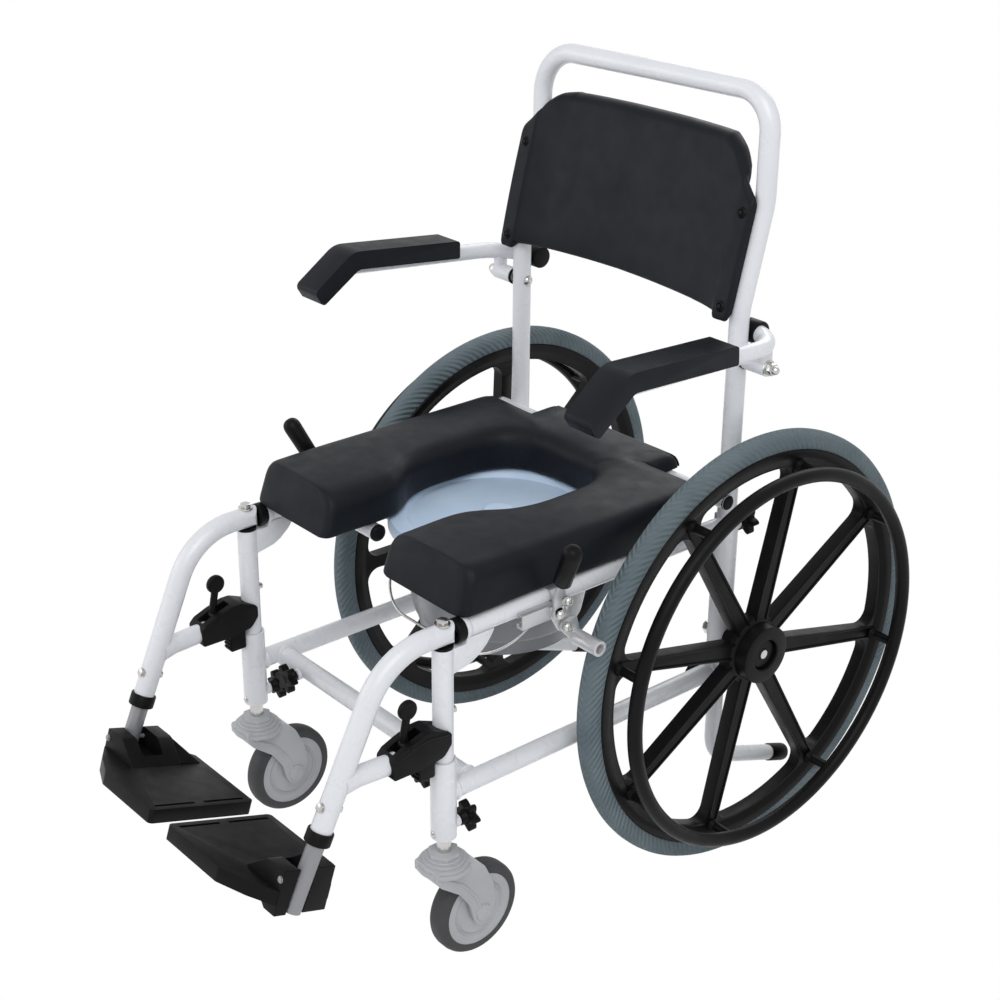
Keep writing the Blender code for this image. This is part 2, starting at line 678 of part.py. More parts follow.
def castor_fork():
    outline = [(-0.036, 0.1500), (-0.031, 0.140), (-0.022, 0.1300), (0.008, 0.1060), (0.0245, 0.0820),
               (0.0305, 0.0590), (0.0350, 0.0500), (0.0440, 0.0450), (0.0540, 0.0480), (0.0600, 0.0560),
               (0.0655, 0.0740), (0.0610, 0.1030), (0.0470, 0.1330), (0.0225, 0.1560), (-0.033, 0.1560)]
    cheek = CASTOR_W / 2 + 0.0015
    body = prism("fork", [(LEG_Y + u, v) for u, v in outline], HALF - cheek - FORK_CHEEK,
                 HALF + cheek + FORK_CHEEK, "YZ")
    wheel_space = bore("space", CASTOR_AXLE - X * cheek, CASTOR_AXLE + X * cheek, CASTOR_R + 0.0035, 20)
    body = cut(body, wheel_space)
    stem = Vector((HALF, LEG_Y, 0))
    low = rod("collar", stem + Z * 0.142, stem + Z * 0.1530, 0.0315, 12, 0.0290)
    middle = rod("collar", stem + Z * 0.150, stem + Z * 0.1585, 0.0275, 12, 0.0255)
    nut = rod("nut", stem + Z * 0.156, stem + Z * 0.1655, 0.0215, 6, 0.0205)
    pin = rod("pin", CASTOR_AXLE - X * 0.0232, CASTOR_AXLE + X * 0.0232, 0.0045, 10)
    fork = fuse(body, low, middle, nut)
    fork = cut(fork, bore("bore", stem + Z * 0.1410, stem + Z * 0.20, STEM_D / 2 + GAP, 12))
    return fuse(fork, pin)


def castor_wheel():
    half = CASTOR_W / 2 - 0.0005
    tread = CASTOR_R - 0.0135
    profile = [(tread, half), (tread, -half), (0.0375, -half), (0.0355, -half + 0.0030),
               (0.0330, -half), (0.0049, -half), (0.0049, half), (0.0330, half),
               (0.0355, half - 0.0030), (0.0375, half)]
    return turned("castor_wheel", profile, CASTOR_AXLE, X, 20, closed=True)


def castor_tyre():
    half = CASTOR_W / 2
    inner = CASTOR_R - 0.0135 + GAP
    profile = [(CASTOR_R, 0.0070), (CASTOR_R, -0.0070), (CASTOR_R - 0.0045, -half), (inner, -half),
               (inner, half), (CASTOR_R - 0.0045, half)]
    return turned("castor_tyre", profile, CASTOR_AXLE, X, 20, closed=True)


def castor_stem():
    return rod("stem", (HALF, LEG_Y, 0.1413), (HALF, LEG_Y, 0.1982), STEM_D / 2, 14)


pair(castor_fork(), "castor_fork", "castor_plastic", (HALF, LEG_Y, 0.156))
pair(castor_stem(), "castor_stem", "steel", (HALF, LEG_Y, 0.178))
pair(castor_wheel(), "castor_wheel", "castor_plastic", CASTOR_AXLE)
pair(castor_tyre(), "castor_tyre", "castor_rubber", CASTOR_AXLE)


# Seat cushion
def seat_cushion():
    """Horseshoe skin lofted from the front of one side round the back to the other."""
    outer_x = SEAT_HALF
    inner_x = CHANNEL_HALF
    half = [
        ((inner_x + 0.006, SEAT_FRONT), (outer_x - 0.016, SEAT_FRONT)),
        ((inner_x, SEAT_FRONT + 0.006), (outer_x - 0.004, SEAT_FRONT + 0.005)),
        ((inner_x, SEAT_FRONT + 0.022), (outer_x, SEAT_FRONT + 0.020)),
        ((inner_x, -0.352), (outer_x, -0.345)),
        ((inner_x + 0.011, -0.322), (outer_x, -0.300)),
        ((inner_x + 0.032, -0.290), (outer_x, -0.250)),
        ((OPENING_HALF, -0.250), (outer_x, -0.200)),
        ((OPENING_HALF, -0.200), (outer_x, -0.150)),
        ((OPENING_HALF - 0.002, -0.165), (outer_x, -0.100)),
        ((OPENING_HALF - 0.010, -0.141), (outer_x, WING_REAR - 0.012)),
        ((OPENING_HALF - 0.018, -0.128), (outer_x - 0.004, WING_REAR - 0.004)),
        ((OPENING_HALF - 0.026, -0.120), (outer_x - 0.014, WING_REAR)),
        ((OPENING_HALF - 0.040, -0.112), (TONGUE_HALF + 0.006, WING_REAR)),
        ((OPENING_HALF - 0.052, -0.109), (TONGUE_HALF, WING_REAR + 0.007)),
        ((OPENING_HALF - 0.064, -0.107), (TONGUE_HALF, TONGUE_REAR - 0.012)),
        ((OPENING_HALF - 0.070, OPENING_REAR - 0.0005), (TONGUE_HALF - 0.004, TONGUE_REAR - 0.003)),
        ((OPENING_HALF - 0.078, OPENING_REAR), (TONGUE_HALF - 0.014, TONGUE_REAR)),
        ((0.0, OPENING_REAR), (0.0, TONGUE_REAR)),
    ]
    low, high = SEAT_Z
    rise = ((0.004, 0.0), (0.0, 0.006), (0.001, high - low - 0.018), (0.006, high - low - 0.006),
            (0.015, high - low - 0.002))
    sections = []
    pairs = half + [((-a[0], a[1]), (-b[0], b[1])) for a, b in reversed(half[:-1])]
    for inner, outer in pairs:
        inner, outer = Vector((*inner, 0)), Vector((*outer, 0))
        way = (outer - inner).normalized()
        ring = [inner + way * inset + Z * (low + lift) for inset, lift in rise]
        ring.append((inner + outer) / 2 + Z * high)
        ring += [outer - way * inset + Z * (low + lift) for inset, lift in reversed(rise)]
        sections.append(ring)
    cushion = loft("cushion", sections)
    tube_space = box("space", (-0.2, REAR_CROSS_Y - 0.0145, low - 0.01), (0.2, 0.02, REAR_CROSS_Z + 0.0115))
    return cut(cushion, tube_space)


finish(seat_cushion(), "seat_cushion", "black_foam", (0, BUCKET_Y, SEAT_Z[0]))


# Back panel
def back_panel():
    """Dished panel whose side flanges lie on the leaning part of the uprights."""
    slope = math.tan(math.radians(BACK_TILT))
    stretch = 1 / math.cos(math.radians(BACK_TILT))
    upright = UPR_Y + (BACK_Z - LEAN_Z[0]) * slope - TUBE / 2 * stretch
    front = upright - BACK_GAP - FLANGE_T * stretch
    inside = BACK_HALF - 0.0298
    stations = [(BACK_HALF, -0.0730, 0.0630, 0.002, 0.012), (BACK_HALF - 0.004, -0.0775, 0.0665, 0.0, FLANGE_T),
                (BACK_HALF - 0.0128, -0.0775, 0.0740, 0.0, FLANGE_T), (inside, -0.0775, 0.0910, 0.0, FLANGE_T),
                (inside - 0.003, -0.0710, 0.0950, 0.0015, 0.018), (inside - 0.010, -0.0705, 0.1010, 0.0035, 0.022),
                (inside - 0.025, -0.0700, 0.1170, 0.0065, 0.025), (inside - 0.044, -0.0695, 0.1330, 0.0095, 0.026),
                (inside - 0.090, -0.0680, 0.1355, 0.0130, 0.026), (0.0500, -0.0670, 0.1365, 0.0155, 0.026),
                (0.0, -0.0665, 0.1365, 0.0165, 0.026)]
    stations += [(-x, *rest) for x, *rest in reversed(stations[:-1])]
    sections = []
    for x, low, high, depth, thick in stations:
        back = depth + thick
        face = [(low + 0.007, depth), (low + 0.06, depth), (high - 0.06, depth), (high - 0.012, depth),
                (high - 0.003, depth + 0.004), (high, depth + thick * 0.5), (high - 0.004, back - 0.003),
                (high - 0.016, back), (high - 0.06, back), (low + 0.06, back), (low + 0.007, back),
                (low, back - 0.005), (low, depth + 0.005)]
        sections.append([(x, front + rise * slope + deep * stretch, BACK_Z + rise) for rise, deep in face])
    return loft("back", sections)


finish(back_panel(), "back_panel", "black_foam", (0, 0, BACK_Z))


# Bucket, lid and bail
def bucket():
    low, high = PAIL_Z
    wall = 0.0022

    def outer(z):
        return PAIL_FOOT_R + (PAIL_TOP_R - PAIL_FOOT_R) * (z - low) / (high - PAIL_LIP - low)

    rib = low + 0.0255
    rim = PAIL_TOP_R + 0.0042
    profile = [(0, low + wall), (PAIL_FOOT_R - 0.005, low + wall), (PAIL_TOP_R - wall - 0.0005, high),
               (rim, high), (rim, high - PAIL_LIP), (PAIL_TOP_R, high - PAIL_LIP),
               (outer(rib), rib), (outer(rib) - 0.0022, rib - 0.003),
               (outer(low) - 0.0022, low + 0.003), (PAIL_FOOT_R - 0.006, low), (0, low)]
    centre = Vector((0, BUCKET_Y, 0))
    pail = turned("pail", profile, centre, Z, 28)
    flange = box("flange", (-BUCKET_R - 0.0175, BUCKET_Y - 0.105, high - PAIL_LIP),
                 (BUCKET_R + 0.0175, BUCKET_Y + 0.105, high))
    inside = turned("inside", [(0, high + 0.01), (PAIL_TOP_R - wall, high + 0.01),
                               (PAIL_TOP_R - wall, high - 0.02), (0, high - 0.02)], centre, Z, 28)
    flange = cut(flange, inside)
    pivot = Vector((0, BUCKET_Y, BAIL_Z))
    pins = []
    for side in (1, -1):
        face = pivot + X * side * PAIL_TOP_R
        pins.append(rod("pin", face - X * side * 0.0038, face + X * side * 0.0040, 0.0028, 8))
        pins.append(rod("head", face + X * side * 0.0028, face + X * side * 0.0046, 0.0048, 8))
    return fuse(pail, flange, *pins)


def bucket_lid():
    mouth = PAIL_TOP_R
    profile = [(0, 0.0197), (0.0205, 0.0194), (0.0225, 0.0147), (mouth - 0.0198, 0.0112),
               (mouth - 0.0138, 0.0179), (LID_R - 0.0017, 0.0187), (LID_R, 0.0167), (LID_R, GAP),
               (mouth - 0.0048, GAP), (mouth - 0.0068, GAP - 0.0040), (mouth - 0.0093, 0.0077), (0, 0.0092)]
    return turned("lid", profile, (0, BUCKET_Y, PAIL_Z[1]), Z, 28)


def bail():
    drop = math.radians(BAIL_DROP)
    down = Vector((0, -math.cos(drop), -math.sin(drop)))
    pivot = Vector((0, BUCKET_Y, BAIL_Z))
    side = X * (PAIL_TOP_R + 0.0009)
    path = [pivot + side, pivot + side + down * BAIL_REACH, pivot - side + down * BAIL_REACH, pivot - side]
    wire = tube("bail", path, 0.0019, [0.080, 0.080], steps=5, resolution=1)
    eye = PAIL_TOP_R - 0.0006
    eyes = [rod("eye", pivot + X * s * eye, pivot + X * s * (eye + 0.0030), 0.0062, 10) for s in (1, -1)]
    wire = fuse(wire, *eyes)
    hole = bore("hole", pivot - X * 0.15, pivot + X * 0.15, 0.0034, 6)
    return cut(wire, hole)


finish(bucket(), "bucket", "bucket_plastic", (0, BUCKET_Y, PAIL_Z[1]))
finish(bucket_lid(), "bucket_lid", "bucket_plastic", (0, BUCKET_Y, PAIL_Z[1]))
finish(bail(), "bail", "steel", (0, BUCKET_Y, BAIL_Z))


# Arms, drawn from their pivot: (along the chair, up)
ARM_SPLAY = -0.020         # outward drift towards the front
ARM_RISE = 0.0915
ARM_AXIS = (UPR_Y, ARM_PIVOT_Z)
ARM_BACK = (0.0302, 0.0268)
ARM_KNEE = (-0.2530, 0.0527)
ARM_TIP = (-0.3085, 0.0150)
PAD_REAR = -0.0827
PAD_X = HALF + 0.0577


def arm_x(y):
    return PAD_X + ARM_SPLAY * (PAD_REAR - y)


def arm_z(y):
    return ARM_BACK[1] + ARM_RISE * (ARM_BACK[0] - y)


def arm_point(x, y, z):
    return Vector((x, UPR_Y + y, ARM_PIVOT_Z + z))


def arm_path():
    return [arm_point(arm_x(ARM_TIP[0]), *ARM_TIP), arm_point(arm_x(ARM_KNEE[0]), *ARM_KNEE),
            arm_point(arm_x(ARM_BACK[0]), *ARM_BACK), arm_point(HALF - 0.0186, *ARM_BACK)]


def arm_tube():
    bar = tube("arm", arm_path(), ARM_TUBE / 2, [0.030, 0.028], steps=5, resolution=2)
    barrel = rod("barrel", (HALF + TUBE / 2 + 0.0028, *ARM_AXIS), (HALF + 0.0525, *ARM_AXIS), 0.0112, 12)
    web = box("web", arm_point(HALF + 0.0415, -0.0085, 0.0), arm_point(HALF + 0.0520, 0.0085, 0.0225))
    bush = rod("bush", arm_point(HALF - 0.0201, *ARM_BACK), arm_point(HALF + 0.0195, *ARM_BACK), 0.0152, 14)
    arm = fuse(bar, barrel, web, bush)
    return cut(arm, bore("bore", (HALF - 0.005, *ARM_AXIS), (HALF + 0.075, *ARM_AXIS), 0.0046, 8))


def arm_pad():
    outline = rounded_outline([(PAD_REAR, 0.0363), (-0.2530, 0.0535), (-0.3120, 0.0140), (-0.3250, 0.0350),
                               (-0.2615, 0.0795), (PAD_REAR, 0.0611)],
                              [0, 0.016, 0.0, 0.006, 0.034, 0.003], 3)
    pad = prism("pad", outline, -PAD_W / 2, PAD_W / 2, "YZ")
    pad = bevel(pad, 0.0030, 1, 50)
    shear = Matrix(((1, -ARM_SPLAY, 0, arm_x(0)), (0, 1, 0, 0), (0, 0, 1, 0), (0, 0, 0, 1)))
    bake(pad, Matrix.Translation((0, *ARM_AXIS)) @ shear)
    points = arm_path()
    way = (points[1] - points[2]).normalized()
    tip = (points[0] - points[1]).normalized()
    space = tube("space", [points[0] + tip * 0.03, points[1], points[2] - way * 0.05],
                 ARM_TUBE / 2 + 0.0006, [0.030], steps=5, resolution=2)
    return cut(pad, space)


def arm_bolt():
    inner = HALF - TUBE / 2 - GAP
    washer_x = HALF + TUBE / 2 + 0.0005
    shaft = rod("bolt", (inner - 0.002, *ARM_AXIS), (HALF + 0.0665, *ARM_AXIS), 0.0040, 8)
    head = turned("head", [(0, 0.0050), (0.0045, 0.0043), (0.0072, 0.0), (0, 0.0)],
                  (inner, *ARM_AXIS), -X, 12)
    washer = rod("washer", (washer_x, *ARM_AXIS), (washer_x + 0.0018, *ARM_AXIS), 0.0095, 12)
    nut = rod("nut", (HALF + 0.0528, *ARM_AXIS), (HALF + 0.0625, *ARM_AXIS), 0.0085, 6)
    dome = turned("dome", [(0, 0.0075), (0.0040, 0.0058), (0.0060, 0.0), (0, 0.0)],
                  (HALF + 0.0620, *ARM_AXIS), X, 10)
    return fuse(shaft, head, washer, nut, dome)


def turned_on(obj, pivot, degrees):
    """Swing a piece's mesh about the crosswise axis through a point."""
    place = Matrix.Translation((0, *pivot)) @ Matrix.Rotation(math.radians(degrees), 4, "X")
    return bake(obj, place @ Matrix.Translation((0, -pivot[0], -pivot[1])))


def arm_piece(build, stem, look, x, y, z):
    finish(turned_on(build(), ARM_AXIS, LEFT_ARM_DROP), stem + "_left", look, (x, y, z))
    finish(bake(build(), Matrix.Scale(-1, 4, X)), stem + "_right", look, (-x, y, z))


arm_piece(arm_tube, "arm_tube", "white_paint", HALF, *ARM_AXIS)
arm_piece(arm_pad, "arm_pad", "black_foam", *arm_point(PAD_X, -0.165, 0.048))
pair(arm_bolt(), "arm_bolt", "steel", (HALF, *ARM_AXIS))


# Footrests
END = Vector(HANGER_END)
KNEE = Vector(HANGER_KNEE)
DOWN = (END - KNEE).normalized()
HINGE = END + DOWN * HINGE_DOWN
STRUT_FOOT = END - DOWN * ((STRUT_Z - END.z) / -DOWN.z)
STRUT_END = Vector((HALF, LEG_Y - 0.0705, STRUT_Z))
REARWARD = Vector((0, math.cos(math.radians(PLATE_TILT)), -math.sin(math.radians(PLATE_TILT))))
TREAD_UP = X.cross(REARWARD)
LATCH_PIVOT = Vector((HALF, LEG_Y - 0.0570, 0.3365))


def hanger_tube():
    start = Vector((HALF, LEG_Y + 0.022, HANGER_Z))
    bar = tube("hanger", [start, KNEE, END + DOWN * 0.0010], HANGER / 2, [0.090], steps=7, resolution=3)
    strut = tube("strut", [STRUT_FOOT, STRUT_END], TUBE / 2)
    bar = fuse(bar, strut)
    trim = box("trim", (HALF - 0.03, LEG_Y, 0.44), (HALF + 0.03, LEG_Y + 0.05, 0.49))
    trim = cut(trim, rod("round", (HALF, LEG_Y, 0.43), (HALF, LEG_Y, 0.50), 0.0141, 20))
    bolt_bore = bore("bolt_bore", (HALF, LEG_Y, 0.43), (HALF, LEG_Y, 0.50), 0.0046, 8)
    tube_bore = bore("tube_bore", END - DOWN * 0.112, END + DOWN * 0.02, FOOT_TUBE / 2 + RUN, 12)
    return cut(bar, trim, bolt_bore, tube_bore)


def hanger_bolt():
    top = HANGER_Z + HANGER / 2 + GAP
    shaft = rod("bolt", (HALF, LEG_Y, LEG_Z[1] - 0.0206), (HALF, LEG_Y, top + 0.0014), 0.0040, 8)
    washer = rod("washer", (HALF, LEG_Y, top), (HALF, LEG_Y, top + 0.0012), 0.0090, 12)
    head = rod("head", (HALF, LEG_Y, top + 0.0010), (HALF, LEG_Y, top + 0.0059), 0.0070, 6)
    return fuse(shaft, washer, head)


def hanger_bush():
    return rod("bush", (HALF, LEG_Y + 0.0145, SEAT_RAIL_Z), (HALF, LEG_Y + 0.0265, SEAT_RAIL_Z), 0.0152, 18)


def foot_tube():
    bar = tube("foot", [END - DOWN * 0.0860, END + DOWN * 0.0950], FOOT_TUBE / 2, resolution=3)
    pin = rod("pin", HINGE + REARWARD * (LUG[0] - 0.002), HINGE + REARWARD * (LUG[1] + 0.0010), 0.0040, 8)
    head = rod("head", HINGE + REARWARD * (LUG[0] - 0.0045), HINGE + REARWARD * (LUG[0] - GAP), 0.0072, 10)
    return fuse(bar, pin, head)


def clamp_ring():
    centre = END
    profile = [(0.0162, 0.0080), (0.0162, -0.0080), (0.0114, -0.0080), (0.0114, -0.0014),
               (0.0139, -0.0014), (0.0139, 0.0080)]
    return turned("ring", profile, centre, -DOWN, 14, closed=True)


def footplate():
    """Tread, raised outer wedge and the two hinge lugs, modelled flat about the hinge."""
    x = HINGE.x
    tread = -HINGE_W
    outline = [(PLATE_INNER - x, PLATE_FRONT), (0.1300 - x, PLATE_FRONT), (0.1680 - x, -0.0550),
               (0.1995 - x, LUG[0]), (0.1995 - x, LUG[1]), (0.1720 - x, 0.0620), (0.1560 - x, PLATE_REAR),
               (PLATE_INNER - x, PLATE_REAR)]
    outline = rounded_outline(outline, [0.006, 0.012, 0.015, 0.0, 0.0, 0.008, 0.008, 0.006], 3)
    plate = prism("plate", outline, tread - PLATE_T, tread)
    wedge = [(0.1300 - x, tread - 0.0004), (0.1640 - x, LUG_TOP - 0.001), (0.1680 - x, LUG_TOP),
             (0.1995 - x, LUG_TOP), (0.1995 - x, LUG_FOOT), (0.1780 - x, LUG_FOOT),
             (0.1560 - x, tread - PLATE_T + 0.003), (0.1300 - x, tread - PLATE_T + 0.003)]
    wedge = prism("wedge", wedge, LUG[0], LUG[1], "XZ")
    plate = fuse(plate, wedge)
    lean = math.atan2(-DOWN.dot(REARWARD), -DOWN.dot(TREAD_UP))
    slot = box("slot", (-0.0146, -0.0122, -0.08), (0.04, 0.0122, 0.08))
    bake(slot, Matrix.Rotation(-lean, 4, "X"))
    fold_space = box("fold_space", (0.1440 - x, -0.0125, tread + 0.0016), (0.001, 0.0185, 0.04))
    hinge_bore = bore("hinge_bore", (0, -0.08, 0), (0, 0.08, 0), 0.0044, 8)
    slots = [box("groove", (PLATE_INNER + 0.0090 - x, a, tread - 0.002), (PLATE_INNER + 0.0115 - x, b, 0.0))
             for a, b in ((PLATE_FRONT + 0.008, -0.002), (0.007, PLATE_REAR - 0.008))]
    plate = cut(plate, slot, fold_space, hinge_bore, *slots)
    place = Matrix((X, REARWARD, TREAD_UP)).transposed().to_4x4()
    return bake(plate, Matrix.Translation(HINGE) @ place)


def latch():
    outline = [(-0.0855, 0.3060), (-0.0855, 0.3290), (-0.0785, 0.3360), (-0.0605, 0.3430), (-0.0375, 0.3500),
               (-0.0245, 0.3500), (0.0005, 0.3400), (0.0045, 0.3360), (0.0045, 0.3190), (-0.0085, 0.3075),
               (-0.0455, 0.3045)]
    outline = [(LEG_Y + u, v) for u, v in outline]
    body = bevel(prism("latch", outline, HALF - 0.0160, HALF + 0.0160, "YZ"), 0.0030, 1, 40)
    jaw = box("jaw", (HALF - 0.0110, LEG_Y - 0.0400, 0.2800), (HALF + 0.0060, LEG_Y - 0.0168, 0.3120))
    body = fuse(body, jaw)
    gap = TUBE / 2 + RUN
    slot = (LATCH_PIVOT.y - 0.0220, LATCH_PIVOT.y + 0.0200)
    cuts = [
        bore("leg_space", (HALF, LEG_Y, 0.27), (HALF, LEG_Y, 0.37), gap, 16),
        box("mouth", (HALF - gap, LEG_Y, 0.27), (HALF + gap, LEG_Y + 0.04, 0.37)),
        bore("strut_space", STRUT_FOOT, STRUT_END + Y * GAP, TUBE / 2 + GAP, 16),
        box("lever_slot", (HALF - 0.0068, slot[0], 0.3250), (HALF + 0.0068, slot[1], 0.37)),
        bore("pin_bore", LATCH_PIVOT - X * 0.03, LATCH_PIVOT + X * 0.03, 0.0033, 8),
    ]
    return cut(body, *cuts)


def latch_lever():
    pivot = LATCH_PIVOT
    disc_centre = Vector((HALF, LEG_Y - 0.0522, 0.3818))
    way = (disc_centre - pivot).normalized()
    side = X.cross(way)
    foot = rod("foot", pivot - X * 0.0060, pivot + X * 0.0060, 0.0068, 10)
    stem = tube("stem", [pivot, pivot + way * 0.014 + side * 0.0025, disc_centre - way * 0.006], 0.0046,
                resolution=1)
    disc = rod("disc", disc_centre - X * 0.0036, disc_centre + X * 0.0036, 0.0125, 16)
    pin = rod("pin", pivot - X * 0.0152, pivot + X * 0.0152, 0.0030, 8)
    return fuse(foot, stem, disc, pin)


pair(hanger_tube(), "hanger_tube", "white_paint", (HALF, LEG_Y, HANGER_Z))
pair(hanger_bolt(), "hanger_bolt", "steel", (HALF, LEG_Y, HANGER_Z))
pair(hanger_bush(), "hanger_bush", "black_moulding", (HALF, LEG_Y + 0.0145, SEAT_RAIL_Z))
pair(foot_tube(), "footrest_tube", "aluminium", END)
pair(clamp_ring(), "clamp_ring", "black_moulding", END)
pair(footplate(), "footplate", "black_moulding", HINGE)
pair(latch(), "latch", "black_moulding", (HALF, LEG_Y, STRUT_Z))
pair(latch_lever(), "latch_lever", "black_moulding", LATCH_PIVOT)


# Brakes
def capsule(points, radii, arc=6):
    """Outline round a row of discs: the hull of their circles."""
    cloud = []
    for (u, v), radius in zip(points, radii):
        for k in range(arc * 4):
            angle = math.tau * k / (arc * 4)
            cloud.append((u + radius * math.cos(angle), v + radius * math.sin(angle)))
    cloud = sorted(set(cloud))
    chain = []
    for sweep in (cloud, cloud[::-1]):
        part = []
        for p in sweep:
            while len(part) > 1 and ((part[-1][0] - part[-2][0]) * (p[1] - part[-2][1])
                                     - (part[-1][1] - part[-2][1]) * (p[0] - part[-2][0])) <= 1e-9:
                part.pop()
            part.append(p)
        chain += part[:-1]
    return chain


def brake_mount():
    low, high = BRAKE_Y - 0.011, BRAKE_Y + 0.011
    rail = SEAT_RAIL_Z
    front = BRAKE_Y - 0.064
    ring = rod("ring", (HALF, low, rail), (HALF, high, rail), 0.0165, 16)
    block = box("block", (HALF, low, rail - 0.0185), (PLATE_X + 0.001, high, rail + 0.0015))
    channel = box("channel", (PLATE_X - 0.0103, front, rail - 0.0195), (PLATE_X, high, rail - 0.0005))
    middle = (ROLLER_Y - 0.0120, ROLLER_Z + 0.0480)
    outline = capsule([LEVER_PIVOT, middle, CARRIER_PIVOT], [0.009, 0.008, 0.009], 3)
    plate = prism("plate", outline, PLATE_X, PLATE_X + 0.0030, "YZ")
    mount = fuse(ring, block, channel, plate)
    cuts = [
        bore("rail", (HALF, low - 0.03, rail), (HALF, high + 0.03, rail), TUBE / 2 + GAP, 16),
        box("top", (HALF - 0.03, low - 0.03, rail + 0.0123), (HALF + 0.0155, high + 0.03, 0.50)),
        box("channel_inside", (PLATE_X - 0.0080, front - 0.006, rail - 0.0170),
            (PLATE_X - 0.002, low - 0.006, rail - 0.0030)),
        box("channel_mouth", (PLATE_X - 0.0155, front - 0.006, rail - 0.0135),
            (PLATE_X - 0.0075, low - 0.006, rail - 0.0065)),
    ]
    mount = cut(mount, *cuts)
    end = BLADE_X + 0.0040 + GAP
    pins = []
    for pivot in (LEVER_PIVOT, CARRIER_PIVOT):
        pins.append(rod("pin", (PLATE_X + 0.001, *pivot), (end + 0.001, *pivot), 0.0030, 8))
        pins.append(rod("head", (end, *pivot), (end + 0.0035, *pivot), 0.0056, 8))
    return fuse(mount, *pins)


def brake_lever():
    tip = Vector(LEVER_TIP)
    base = Vector((BLADE_X + 0.002, *LEVER_PIVOT))
    rise = Vector((BLADE_X + 0.002, LEVER_PIVOT[0] + (tip.y - LEVER_PIVOT[0]) * 0.2, LEVER_PIVOT[1] + 0.022))
    eye = rod("eye", (BLADE_X, *LEVER_PIVOT), (BLADE_X + 0.0040, *LEVER_PIVOT), 0.0085, 12)
    grip_foot = tip + (rise - tip).normalized() * 0.056
    blade_side = Y * 0.0062
    sections = []
    for place in (base, rise, grip_foot + (tip - grip_foot).normalized() * 0.01):
        sections.append([place + blade_side - X * 0.002, place + blade_side + X * 0.002,
                         place - blade_side + X * 0.002, place - blade_side - X * 0.002])
    blade = loft("blade", sections)
    length = (tip - grip_foot).length
    grip = turned("grip", [(0, length), (0.0062, length - 0.0015), (0.0102, length - 0.0085),
                           (0.0096, 0.0), (0, 0.0)], grip_foot, tip - grip_foot, 14)
    lever = fuse(eye, blade, grip)
    return cut(lever, bore("bore", (PLATE_X, *LEVER_PIVOT), (BLADE_X + 0.02, *LEVER_PIVOT), 0.0033, 8))


def brake_link():
    middle = (ROLLER_Y - 0.0050, ROLLER_Z + 0.0230)
    outline = capsule([CARRIER_PIVOT, middle, ROLLER], [0.0075, 0.0060, 0.0075], 3)
    plate = prism("carrier", outline, BLADE_X, BLADE_X + 0.0035, "YZ")
    roller = rod("roller", (BLADE_X + 0.0030, *ROLLER), (BLADE_X + 0.0458, *ROLLER), ROLLER_R, 14)
    carrier = fuse(plate, roller)
    return cut(carrier, bore("bore", (PLATE_X, *CARRIER_PIVOT), (BLADE_X + 0.02, *CARRIER_PIVOT), 0.0033, 8),
               rod("hollow", (BLADE_X + 0.0108, *ROLLER), (BLADE_X + 0.056, *ROLLER), 0.0062, 12))


def brake_piece(build, stem, look, pivot, right_turn):
    finish(build(), stem + "_left", look, (BLADE_X, *pivot))
    other = turned_on(build(), pivot, right_turn)
    bake(other, Matrix.Scale(-1, 4, X))
    finish(other, stem + "_right", look, (-BLADE_X, *pivot))


pair(brake_mount(), "brake_mount", "aluminium", (HALF, BRAKE_Y, SEAT_RAIL_Z))
brake_piece(brake_lever, "brake_lever", "aluminium", LEVER_PIVOT, RIGHT_LEVER)
brake_piece(brake_link, "brake_link", "aluminium", CARRIER_PIVOT, RIGHT_LEVER * BRAKE_RATIO)
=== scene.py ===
"""Appearance of the self-propelled commode chair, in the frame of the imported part.

Lengths are in metres, +Z is up, the user faces -Y and the user's left is +X. Shapes are worked
from the rear axle and then moved into the row frame.
"""
import json
import math

import bmesh
import bpy
from mathutils import Matrix, Vector

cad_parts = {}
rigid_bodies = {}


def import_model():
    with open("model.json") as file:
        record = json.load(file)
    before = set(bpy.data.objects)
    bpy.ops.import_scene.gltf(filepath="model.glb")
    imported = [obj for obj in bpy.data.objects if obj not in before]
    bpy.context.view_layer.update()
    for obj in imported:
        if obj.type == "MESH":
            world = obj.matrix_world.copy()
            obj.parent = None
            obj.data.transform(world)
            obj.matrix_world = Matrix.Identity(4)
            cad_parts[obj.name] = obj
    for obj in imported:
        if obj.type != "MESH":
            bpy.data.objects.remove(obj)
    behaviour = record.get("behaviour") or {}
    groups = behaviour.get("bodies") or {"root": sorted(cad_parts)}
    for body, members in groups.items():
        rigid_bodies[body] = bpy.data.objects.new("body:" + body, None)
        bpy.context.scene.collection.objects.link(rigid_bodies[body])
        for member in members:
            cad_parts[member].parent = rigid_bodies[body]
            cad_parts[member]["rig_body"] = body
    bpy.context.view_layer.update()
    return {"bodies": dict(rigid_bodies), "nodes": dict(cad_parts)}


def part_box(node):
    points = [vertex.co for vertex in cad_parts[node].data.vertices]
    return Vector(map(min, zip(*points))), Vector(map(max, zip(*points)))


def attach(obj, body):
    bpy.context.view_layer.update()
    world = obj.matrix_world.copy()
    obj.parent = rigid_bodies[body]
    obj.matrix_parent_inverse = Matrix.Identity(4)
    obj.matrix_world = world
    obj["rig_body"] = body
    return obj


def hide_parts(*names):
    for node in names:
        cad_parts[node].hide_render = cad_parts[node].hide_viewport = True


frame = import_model()
OWNER = {name: node["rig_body"] for name, node in frame["nodes"].items()}
TYRE_LOW, TYRE_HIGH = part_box("tyre_left")
AXLE_Y = (TYRE_LOW.y + TYRE_HIGH.y) / 2
X, Y, Z = Vector((1, 0, 0)), Vector((0, 1, 0)), Vector((0, 0, 1))

